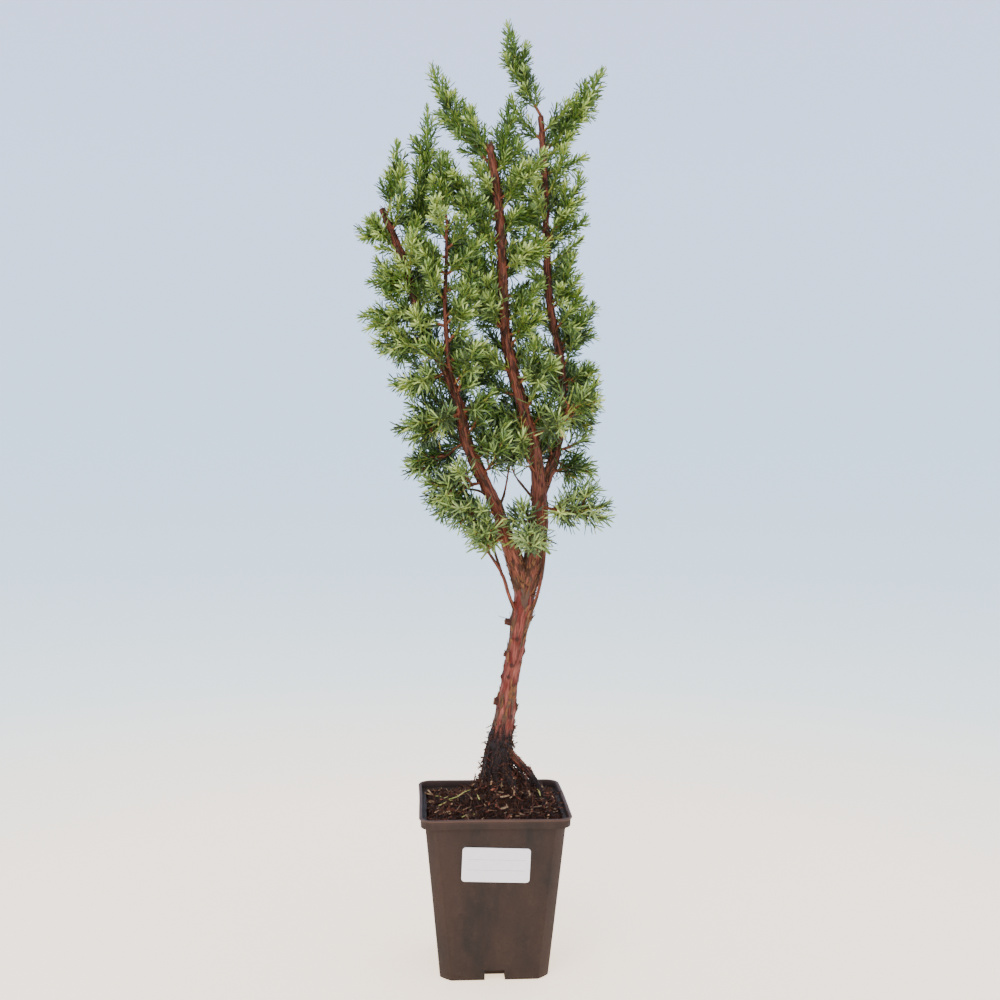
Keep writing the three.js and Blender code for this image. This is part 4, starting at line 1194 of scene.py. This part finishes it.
def body_ring(inset, z):
    """The outline of the tapering body at a height, drawn in by an inset."""
    across = BODY_FOOT + (BODY_TOP - BODY_FOOT) * z / RIM_FOOT
    return square_ring(across - 2 * inset, CORNER_CUT, CUT_FLATNESS, z)


def rim_ring(inset, z):
    """The outline of the rim band at a height."""
    return square_ring(POT_TOP - 2 * inset, RIM_CORNER - inset, 0, z)


def loft(name, rings):
    """A closed mesh through rings of equally many points."""
    count = len(rings[0])
    points = [p for ring in rings for p in ring]
    foot, top = tuple(reversed(range(count))), tuple(range(len(points) - count, len(points)))
    return put(name, points, [foot, *quads(len(rings), count), top])


print("points in one outline:", len(body_ring(0, 0)))


# %% Blocks for the notches, and rods for the drain holes
def notch_blocks(margin, bottom):
    """The notches of all four sides as one mesh, grown by a margin."""
    points, faces = [], []
    half, top = NOTCH_WIDE / 2 + margin, NOTCH_TALL + margin
    inner, outer = BODY_FOOT / 2 - NOTCH_DEEP - margin, BODY_FOOT / 2 + 4
    for side in range(4):
        c, s = math.cos(side * math.pi / 2), math.sin(side * math.pi / 2)
        first = len(points)
        for z in (bottom, top):
            for x, y in ((-half, inner), (half, inner), (half, outer), (-half, outer)):
                points.append((x * c - y * s, x * s + y * c, z))
        faces += [tuple(first + k for k in face) for face in (
            (3, 2, 1, 0), (4, 5, 6, 7), (0, 1, 5, 4), (1, 2, 6, 5), (2, 3, 7, 6), (3, 0, 4, 7),
        )]
    return put("notch_blocks", points, faces, smooth=False)


def drain_holes():
    """Four round holes through the pot's floor."""
    points, faces = [], []
    for side in range(4):
        middle = math.pi * (0.25 + 0.5 * side)
        x, y = (DRAIN_OFFSET * math.sqrt(2) * share for share in (math.cos(middle), math.sin(middle)))
        first = len(points)
        for z in (-2 * WALL, 3 * WALL):
            for k in range(DRAIN_STEPS):
                turn = math.tau * k / DRAIN_STEPS
                points.append((x + DRAIN_RADIUS * math.cos(turn), y + DRAIN_RADIUS * math.sin(turn), z))
        top = first + DRAIN_STEPS
        faces += quads(2, DRAIN_STEPS, first)
        faces += [tuple(reversed(range(first, top))), tuple(range(top, top + DRAIN_STEPS))]
    return put("drain_holes", points, faces, smooth=False)


print("a notch is", NOTCH_WIDE, "by", NOTCH_TALL, "mm, a drain hole", 2 * DRAIN_RADIUS, "mm wide")


# %% Loft the walls and the rim, then cut them
def cut_or_join(piece, tool, operation):
    """Applies one Boolean and removes the tool."""
    step = piece.modifiers.new(operation.lower(), "BOOLEAN")
    step.operation = operation
    step.object = tool
    step.solver = "EXACT"
    with bpy.context.temp_override(object=piece, active_object=piece):
        bpy.ops.object.modifier_apply(modifier=step.name)
    bpy.data.objects.remove(tool)


outer_walls = [body_ring(inset, z) for inset, z in ((0.5, 0), (0.12, 0.15), (0, 0.6), (0, 6.2), (0, 7))]
outer_walls += [body_ring(0, z) for z in range(15, 86, 10)]
outer_rim = [rim_ring(inset, z) for inset, z in (
    (2.4, RIM_FOOT), (LIP + 0.35, RIM_FOOT), (LIP + 0.2, RIM_FOOT + 0.25), (LIP + 0.1, POT_HEIGHT - 3),
    (LIP, POT_HEIGHT - 1.5), (0.2, POT_HEIGHT - 1.05), (0, POT_HEIGHT - 0.8), (0, POT_HEIGHT - 0.3),
    (0.3, POT_HEIGHT),
)]
inner_rim = [rim_ring(inset, z) for inset, z in (
    (1.5, POT_HEIGHT), (LIP + WALL - 0.1, POT_HEIGHT - 0.35), (LIP + WALL, POT_HEIGHT - 1),
    (LIP + WALL, RIM_FOOT + WALL + 0.4), (LIP + WALL + 0.5, RIM_FOOT + WALL),
)]
inner_walls = [body_ring(inset, z) for inset, z in (
    (WALL - 0.4, RIM_FOOT + WALL), (WALL, RIM_FOOT + WALL - 0.5), (WALL, 60), (WALL, WALL),
)]
pot = loft("pot_shell", [*outer_walls, body_ring(0, RIM_FOOT - 0.3), *outer_rim, *inner_rim, *inner_walls])
blocks = notch_blocks(WALL, 0.02)
cut_or_join(blocks, loft("pot_outer", outer_walls + [body_ring(0, RIM_FOOT)]), "INTERSECT")
cut_or_join(pot, blocks, "UNION")
cut_or_join(pot, notch_blocks(0, -10), "DIFFERENCE")
cut_or_join(pot, drain_holes(), "DIFFERENCE")
print("pot:", len(pot.data.polygons), "faces")


# %% [markdown]
# A cheap pot is never quite true: its long walls bow by a few tenths of a millimetre as they cool, which
# shows in the run of the rim. The points are moved by two slow waves, and the edges that the light
# catches are marked for the material. Faces that meet at a sharp angle stay crisp, the rest are smooth.

# %% Warp the pot, mark its edges and smooth its radii
def warp(x, y, z):
    """A slow bow of the walls that is largest at the rim."""
    share = (z / POT_HEIGHT) ** 2
    return (x + 0.25 * share * math.sin(y * 0.06 + 0.8), y + 0.3 * share * math.sin(x * 0.07 + 2.2),
            z + 0.22 * share * math.sin(x * 0.05 - y * 0.04) - 0.22 * share)


for vertex in pot.data.vertices:
    x, y, z = (value / MM for value in vertex.co)
    vertex.co = Vector(warp(x, y, z)) * MM
# The lip's edge, where the light catches it, is marked here, and the material paints a highlight there.
rim_highlight_marks = [ramp(POT_HEIGHT - 2.2, POT_HEIGHT - 0.6, v.co.z / MM) for v in pot.data.vertices]
tag(pot, "rim", "FLOAT", rim_highlight_marks)
with bpy.context.temp_override(object=pot, active_object=pot, selected_editable_objects=[pot]):
    bpy.ops.object.shade_smooth_by_angle(angle=math.radians(28))
print("points on the rim's edge:", sum(mark > 0.5 for mark in rim_highlight_marks))


# %% [markdown]
# Recycled plastic is never one even colour. Four patterns are laid over a dark brown, one after the
# other, each with the same two nodes: slow clouds that run down the walls, dark specks, pale scuffs, and
# last a painted highlight on the edge of the lip, where the light catches it, which the marks on the
# points give. A loop adds them from a table.

# %% Finish of the pot
def pot_finish():
    """Moulded recycled polypropylene: brown-grey, dull, mottled, speckled, scuffed, with a painted highlight
    on the lip.
    """
    material, tree, shader = finish("moulded recycled plastic", Roughness=0.6, Specular_IOR_Level=0.1)
    place = add(tree, "ShaderNodeTexCoord").outputs["Object"]
    flow = add(tree, "ShaderNodeVectorMath", {0: place, 1: (1.0, 1.0, 0.35)}, operation="MULTIPLY").outputs[0]
    marks = {"rim": add(tree, "ShaderNodeAttribute", attribute_name="rim").outputs["Fac"]}
    for name, where, scale, detail, harsh in (
        ("cloud", flow, 45.0, 4.0, 0.6), ("speck", place, 900.0, 3.0, 0.7),
        ("scuff", place, 160.0, 5.0, 0.75),
    ):
        pattern = {"Vector": where, "Scale": scale, "Detail": detail, "Roughness": harsh}
        marks[name] = add(tree, "ShaderNodeTexNoise", pattern).outputs[0]
    colour = linear("#2d2723")
    # The last row paints a highlight on the lip's edge.
    for name, low, high, most, over in (
        ("cloud", 0.36, 0.66, 1.0, "#3d2f28"), ("speck", 0.55, 0.72, 0.35, "#1b1310"),
        ("scuff", 0.5, 0.75, 0.22, "#54433a"), ("rim", 0.0, 1.0, 0.6, "#644c42"),
    ):
        share = add(tree, "ShaderNodeMapRange", {0: marks[name], 1: low, 2: high, 4: most}).outputs[0]
        mixed = add(tree, "ShaderNodeMix", {0: share, 6: colour, 7: linear(over)}, data_type="RGBA")
        colour = mixed.outputs[2]
    rough = add(tree, "ShaderNodeMapRange", {0: marks["scuff"], 1: 0.3, 2: 0.7, 3: 0.55, 4: 0.7}).outputs[0]
    tree.links.new(colour, shader.inputs["Base Color"])
    tree.links.new(rough, shader.inputs["Roughness"])
    bump = add(tree, "ShaderNodeBump", {"Height": marks["speck"], "Strength": 0.25, "Distance": 0.15 * MM})
    tree.links.new(bump.outputs[0], shader.inputs["Normal"])
    return material


pot.data.materials.clear()
pot.data.materials.append(pot_finish())
pot_corners = np.array(pot.bound_box) / MM
print("pot box:", pot_corners.min(axis=0).round(1), pot_corners.max(axis=0).round(1))


# %% [markdown]
# Peat
#
# The pot is filled with fibrous peat and bark compost, nearly black when damp, heaped up round the trunk.
# The heap is a height over the pot's outline, with clods from two noises. On it lie crumbs, red-brown
# fibres and a few pale chips. They come from the same scatter tree as the flakes, with other shapes, so
# the heap only has to say where they may lie.

# %% The heap of peat
SOIL_LEVEL = 94
MOUND_X, MOUND_Y, MOUND_HEIGHT, MOUND_REACH = 7, -3, 25, 24
HEAP_RINGS = 56


def soil_height(x, y):
    """The heap with its waves, as in the solids, and finer clods on it."""
    mound = MOUND_HEIGHT * math.exp(-(math.hypot(x - MOUND_X, y - MOUND_Y) / MOUND_REACH) ** 2)
    waves = 0.7 * math.sin(x * 0.61 + y * 0.23) + 0.6 * math.sin(y * 0.74 - x * 0.35 + 1.3)
    clods = 1.1 * noise.noise(Vector((x / 5, y / 5, 3))) + 0.7 * noise.noise(Vector((x / 2, y / 2, 8)))
    return SOIL_LEVEL + mound + waves + clods


def make_soil():
    """The peat as one closed mesh, with its open top marked for what lies on it."""
    edge = body_ring(WALL + GAP, SOIL_LEVEL - 2.5)
    rings = [body_ring(WALL + GAP, WALL + NOTCH_TALL + 2), edge]
    for step in range(HEAP_RINGS):
        share = 0.985 * (1 - step / HEAP_RINGS) ** 0.9
        ring = []
        for px, py, _ in edge:
            x, y = MOUND_X + (px - MOUND_X) * share, MOUND_Y + (py - MOUND_Y) * share
            ring.append((x, y, soil_height(x, y)))
        rings.append(ring)
    piece = loft("soil_heap", rings)
    closed = 3 * len(edge)
    tag(piece, "open", "FLOAT", [float(n >= closed) for n in range(len(piece.data.vertices))])
    return piece


soil_heap = make_soil()
peat, tree, shader = finish("damp fibrous peat", Roughness=0.95, Specular_IOR_Level=0.12)
place = add(tree, "ShaderNodeTexCoord").outputs["Object"]
pattern = {"Vector": place, "Scale": 500.0, "Detail": 4.0, "Roughness": 0.7}
coarse = add(tree, "ShaderNodeTexNoise", pattern).outputs[0]
share = add(tree, "ShaderNodeMapRange", {0: coarse, 1: 0.4, 2: 0.7}).outputs[0]
colour = add(tree, "ShaderNodeMix", {0: share, 6: linear("#1c0f0a"), 7: linear("#412618")}, data_type="RGBA")
tree.links.new(colour.outputs[2], shader.inputs["Base Color"])
bump = add(tree, "ShaderNodeBump", {"Height": coarse, "Strength": 1.0, "Distance": 1.2 * MM})
tree.links.new(bump.outputs[0], shader.inputs["Normal"])
soil_heap.data.materials.append(peat)
print("heap:", len(soil_heap.data.polygons), "faces")


# %% Crumbs, fibres and chips on the peat
def crumb_shape():
    """A lump of twenty faces with its corners pushed in and out."""
    lump = bmesh.new()
    bmesh.ops.create_icosphere(lump, subdivisions=1, radius=0.5 * MM)
    rand = random.Random(4)
    for vertex in lump.verts:
        vertex.co *= rand.uniform(0.6, 1.25)
    mesh = bpy.data.meshes.new("crumb_shape")
    lump.to_mesh(mesh)
    lump.free()
    shape = bpy.data.objects.new("crumb_shape", mesh)
    bpy.context.scene.collection.objects.link(shape)
    return shape


crumb = crumb_shape()
fibre = strip_shape("fibre_shape", steps=4, curl=0.12, thick=0.5, ends=0.5)
on_peat = scatter_tree("litter on the peat", "open")
on_bark = scatter_tree("peat on the trunk's foot", "peat")
litter_finishes = {
    "black crumb": ("#2e1c15", "#120a07"), "brown crumb": ("#523020", "#25140d"),
    "red fibre": ("#7c4430", "#432015"), "dark fibre": ("#59341f", "#25150e"),
    "pale chip": ("#e2b78e", "#a06c46"), "salmon chip": ("#b4684a", "#743a28"),
    "tan fibre": ("#ba9670", "#6f4f38"),
}
litter_finishes = {name: plant_finish(name, light, dark, 0.9, size=1.5)
                   for name, (light, dark) in litter_finishes.items()}
LITTER = [  # host, tree, shape, number per square metre, smallest and largest size, tilt, finish
    (soil_heap, on_peat, crumb, 330000, (0.6, 0.6, 0.5), (1.7, 1.7, 1.4), 0.6, "black crumb"),
    (soil_heap, on_peat, crumb, 90000, (0.6, 0.6, 0.5), (2.2, 1.9, 1.6), 0.6, "brown crumb"),
    (soil_heap, on_peat, fibre, 90000, (0.35, 2.5, 0.5), (0.7, 8.5, 2.0), 0.6, "dark fibre"),
    (soil_heap, on_peat, fibre, 26000, (0.35, 2.0, 0.5), (0.8, 6.5, 2.0), 0.5, "red fibre"),
    (soil_heap, on_peat, fibre, 5000, (0.8, 1.6, 0.6), (1.7, 4.2, 1.2), 0.25, "salmon chip"),
    (soil_heap, on_peat, fibre, 7500, (0.8, 1.5, 0.6), (1.9, 3.8, 1.2), 0.2, "pale chip"),
    (soil_heap, on_peat, fibre, 22000, (0.35, 2.0, 0.5), (0.8, 6.0, 2.0), 0.5, "tan fibre"),
    (trunk_bark, on_bark, crumb, 420000, (0.5, 0.5, 0.5), (1.8, 1.8, 1.5), 0.6, "black crumb"),
    (trunk_bark, on_bark, fibre, 100000, (0.3, 1.5, 0.5), (0.5, 5.0, 1.8), 0.9, "dark fibre"),
    (trunk_bark, on_bark, fibre, 25000, (0.3, 1.5, 0.5), (0.6, 3.5, 1.8), 0.7, "red fibre"),
]
litter = [made_by(tree, f"litter_{n}", host, shape=shape, per_square_metre=float(density), smallest=small,
                  largest=large, tilt=tilt, seed=40 + n, finish=litter_finishes[name])
          for n, (host, tree, shape, density, small, large, tilt, name) in enumerate(LITTER)]
soil_litter = join("soil_litter", litter)
print("litter triangles:", sum(len(face.vertices) - 2 for face in soil_litter.data.polygons))


# %% [markdown]
# A few dry straws lie on the heap, most of them at its left, where the photograph shows them. Each is
# listed: where it lies, which way, and how long it is.

# %% Straws
STRAWS = [  # x, y, direction in degrees, length, width
    (-33, -6, 42, 13, 1.1), (-27, -9, 24, 15, 1.0), (-9, -22, 98, 7, 1.1), (-20, -30, 12, 8, 0.8),
    (28, -16, 100, 8, 0.8), (-26, 14, 160, 9, 0.9),
]
straw_points, straw_faces = [], []
for x, y, direction, length, width in STRAWS:
    c, s = math.cos(math.radians(direction)), math.sin(math.radians(direction))
    first = len(straw_points)
    ends = [(x + c * length * share, y + s * length * share) for share in (0, 0.35, 0.7, 1)]
    lies = max(soil_height(*end) for end in ends) + 0.9
    for i, (px, py) in enumerate(ends):
        half = width / 2 * (0.7, 1, 1, 0.35)[i]
        z = 0.5 * (lies + soil_height(px, py) + 1.1) + (0, 0.2, 0.3, 0)[i]
        straw_points += [(px - s * half, py + c * half, z), (px + s * half, py - c * half, z)]
        straw_points.append((px, py, z + 0.35))
    straw_faces += [(first, first + 1, first + 2), (first + 9, first + 11, first + 10)]
    straw_faces += [(a, d, c, b) for a, b, c, d in quads(4, 3, first)]
straws = put("dry_straws", straw_points, straw_faces, smooth=False)
straws.data.materials.append(plant_finish("dry straw", "#c9c06f", "#8f9446", 0.6, size=3))
print("straws:", len(STRAWS))


# %% [markdown]
# The sticker
#
# A white film label sits on the front wall, tilted by two degrees. It is left blank, with two faint ruled
# lines like a plain stock label. It is a thin plate with rounded corners that follows the leaning wall,
# drawn flat first and then laid on. Its lines come from its own UV map, in millimetres.

# %% Shape of the sticker
LABEL_WIDE, LABEL_TALL, LABEL_CORNER, LABEL_MIDDLE, LABEL_TILT = 40, 21, 2, 71.6, -2.1
RULE_LONG, RULE_UP, RULE_HALF = 34, 3.2, 0.16


def label_outline(inset):
    """The rounded outline of the sticker, anticlockwise."""
    w, h, r = LABEL_WIDE / 2 - inset, LABEL_TALL / 2 - inset, LABEL_CORNER - inset
    return [(sx * (w - r) + r * math.cos(turn), sy * (h - r) + r * math.sin(turn))
            for quarter, (sx, sy) in enumerate(((1, 1), (-1, 1), (-1, -1), (1, -1)))
            for turn in (math.radians(90 * quarter + 15 * step) for step in range(7))]


def on_wall(u, v, out):
    """A point of the flat sticker laid on the leaning front wall."""
    c, s = math.cos(math.radians(LABEL_TILT)), math.sin(math.radians(LABEL_TILT))
    x, up = u * c - v * s, u * s + v * c
    lean = math.atan((BODY_TOP - BODY_FOOT) / 2 / RIM_FOOT)
    z = LABEL_MIDDLE + up * math.cos(lean)
    wall = (BODY_FOOT + (BODY_TOP - BODY_FOOT) * z / RIM_FOOT) / 2
    x, y, z = warp(x, -wall, z)
    return x, y - out, z


label_rings = [[(u, v, out) for u, v in label_outline(inset)]
               for inset, out in ((0, 0.03), (0, 0.36), (0.12, 0.42), (LABEL_CORNER - 0.4, 0.42))]
label_count = len(label_rings[0])
flat_points = [p for ring in label_rings for p in ring]
label_faces = [tuple(reversed(range(label_count))), tuple(range(3 * label_count, 4 * label_count))]
label_faces += [(b, c, d, a) for a, b, c, d in quads(4, label_count)]
label = put("blank_label", [on_wall(*p) for p in flat_points], label_faces, smooth=False)
film_map = label.data.uv_layers.new(name="film")
for loop in label.data.loops:
    u, v, _ = flat_points[loop.vertex_index]
    film_map.data[loop.index].uv = (u, v)
print("label:", len(label.data.polygons), "faces")


# %% Finish of the sticker
film, tree, shader = finish("matt white label film", "#f1eaea", Roughness=0.5, Coat_Weight=0.1)
film_place = add(tree, "ShaderNodeUVMap", uv_map="film").outputs[0]
parts = add(tree, "ShaderNodeSeparateXYZ", {0: film_place}).outputs
lines = [add(tree, "ShaderNodeMath", {0: parts["Y"], 1: up, 2: RULE_HALF}, operation="COMPARE").outputs[0]
         for up in (-RULE_UP, RULE_UP)]
either = add(tree, "ShaderNodeMath", dict(enumerate(lines)), operation="MAXIMUM").outputs[0]
side_way = add(tree, "ShaderNodeMath", {0: parts["X"]}, operation="ABSOLUTE").outputs[0]
inside = add(tree, "ShaderNodeMath", {0: side_way, 1: RULE_LONG / 2}, operation="LESS_THAN").outputs[0]
ruled = add(tree, "ShaderNodeMath", {0: either, 1: inside}, operation="MULTIPLY").outputs[0]
faint = add(tree, "ShaderNodeMath", {0: ruled, 1: 0.45}, operation="MULTIPLY").outputs[0]
grain = add(tree, "ShaderNodeTexNoise", {"Vector": film_place, "Scale": 0.25, "Detail": 4.0}).outputs[0]
paper = add(tree, "ShaderNodeMix", {0: grain, 6: linear("#ece3e4"), 7: linear("#f8f3f3")}, data_type="RGBA")
colour = add(tree, "ShaderNodeMix", {0: faint, 6: paper.outputs[2], 7: linear("#8d8a90")}, data_type="RGBA")
tree.links.new(colour.outputs[2], shader.inputs["Base Color"])
label.data.materials.append(film)
print("ruled lines on the label:", len(lines))


# %% [markdown]
# The studio
#
# The floor is plain and pale, and rises in a wide curve all round, as a paper sweep does, so that no edge
# shows from any side. It glows a little, like paper lit from behind: cream near the pot, pale blue farther
# off and lavender at the top. One large soft light hangs over the front left, a weaker one fills from the
# right, a third hangs over the back, and the sky of the scene is pale, so the shadows under the crown stay
# open.

# %% A floor that curves up into a wall
FLAT_REACH, CURVE_RADIUS, CURVE_STEPS, SWEEP_TOP, SWEEP_SIDES = 1.4, 0.9, 12, 2.6, 64


def make_sweep():
    """A round floor that curves up into a wall, seen from inside. Its sizes are in metres."""
    profile = [(0.4, 0.0), (FLAT_REACH, 0.0)]
    profile += [(FLAT_REACH + CURVE_RADIUS * math.sin(turn), CURVE_RADIUS * (1 - math.cos(turn)))
                for turn in np.linspace(0.1, math.pi / 2, CURVE_STEPS)]
    profile += [(FLAT_REACH + CURVE_RADIUS, height) for height in (1.6, SWEEP_TOP)]
    turns = [math.tau * k / SWEEP_SIDES for k in range(SWEEP_SIDES)]
    points = [(0, 0, 0)]
    points += [(r * math.cos(turn) / MM, r * math.sin(turn) / MM, z / MM)
               for r, z in profile for turn in turns]
    faces = [(0, 1 + k, 1 + (k + 1) % SWEEP_SIDES) for k in range(SWEEP_SIDES)]
    faces += [(a, d, c, b) for a, b, c, d in quads(len(profile), SWEEP_SIDES, 1)]
    return put("floor", points, faces)


floor = make_sweep()
print("floor:", len(floor.data.polygons), "faces")


# %% Finish of the floor
GLOW_REACH = 3.0
GLOW = [(0.3, "#ffdfb8"), (0.9, "#bcc8c2"), (1.9, "#84a4ba"), (2.7, "#887fa0")]
sweep_paper, tree, shader = finish("pale sweep paper", Roughness=0.85, Emission_Strength=1.9)
place = add(tree, "ShaderNodeTexCoord").outputs["Object"]
height = add(tree, "ShaderNodeSeparateXYZ", {0: place}).outputs["Z"]
share = add(tree, "ShaderNodeMapRange", {0: height, 1: -0.3, 2: 0.6}, interpolation_type="SMOOTHSTEP")
tone = add(tree, "ShaderNodeMix", {0: share.outputs[0], 6: linear("#f1ebe0"), 7: linear("#cfdfe6")},
           data_type="RGBA")
tree.links.new(tone.outputs[2], shader.inputs["Base Color"])
away = add(tree, "ShaderNodeVectorMath", {0: place}, operation="LENGTH").outputs["Value"]
far = add(tree, "ShaderNodeMapRange", {0: away, 1: 0.0, 2: GLOW_REACH}).outputs[0]
glow = add(tree, "ShaderNodeValToRGB", {0: far})
for stop, (metres, colour) in enumerate(GLOW):
    at = metres / GLOW_REACH
    mark = glow.color_ramp.elements[stop] if stop < 2 else glow.color_ramp.elements.new(at)
    mark.position, mark.color = at, linear(colour)
tree.links.new(glow.outputs[0], shader.inputs["Emission Color"])
sweep_paper.cycles.emission_sampling = "NONE"
floor.data.materials.append(sweep_paper)
floor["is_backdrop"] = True
print("tones in the glow:", len(GLOW))


# %% Lights and sky
def soft_light(name, place, target, size, power, colour):
    """A square area light that points at a target."""
    lamp = bpy.data.lights.new(name, "AREA")
    lamp.shape = "SQUARE"
    lamp.size = size
    lamp.energy = power
    lamp.color = linear(colour)[:3]
    light = bpy.data.objects.new(name, lamp)
    light.location = place
    light.rotation_euler = (Vector(target) - Vector(place)).to_track_quat("-Z", "Y").to_euler()
    bpy.context.scene.collection.objects.link(light)


soft_light("key light", (-0.55, -0.95, 1.25), (0, 0, 0.3), 0.7, 12, "#fff8ee")
soft_light("fill light", (1.0, -0.8, 0.7), (0, 0, 0.3), 0.9, 2, "#eef4ff")
soft_light("top light", (0.1, 0.35, 1.5), (0, 0, 0.3), 0.8, 5, "#ffffff")
sky = bpy.data.worlds.new("pale sky")
sky.use_nodes = True
sky.node_tree.nodes["Background"].inputs["Color"].default_value = linear("#e8eef2")
sky.node_tree.nodes["Background"].inputs["Strength"].default_value = 0.5
bpy.context.scene.world = sky


# %% [markdown]
# The pieces on the body
#
# Every piece rides on the one body of the row and stands for the solids that it covers. The shapes that
# were only scattered are removed, and both boxes are printed so that their sizes can be compared.

# %% Ride, replace and finish
for shape in (flake_shape, crumb, fibre, needle_template):
    bpy.data.objects.remove(shape)

pieces = [trunk_bark, low_twigs, bark_flakes, *limb_barks.values(), pot, soil_heap, soil_litter, straws]
pieces += [label, *twig_pieces.values(), *(piece for _, piece in needle_pieces.values())]
for piece in pieces:
    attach(piece, "root")

for piece, nodes, slot in (
    (trunk_bark, ["trunk"], "bark"), (limb_barks["left"], ["left_limb"], "bark"),
    (limb_barks["centre"], ["centre_limb"], "bark"), (limb_barks["right"], ["right_limb"], "bark"),
    (limb_barks["thin"], ["thin_limb"], "bark"), (low_twigs, ["twig_left", "twig_right"], "twig"),
    (pot, ["pot"], "pot_plastic"), (soil_heap, ["soil"], "soil"), (label, ["label"], "label"),
):
    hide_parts(*nodes)
for limb_name, piece in needle_pieces.values():
    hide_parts(*(mass["node"] for mass in masses if mass["limb"] == limb_name))

boxes = {"cad_box": cad_box, "visual_box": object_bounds()}
{name: [[float(value) for value in corner] for corner in box] for name, box in boxes.items()}
print("boxes:", boxes)
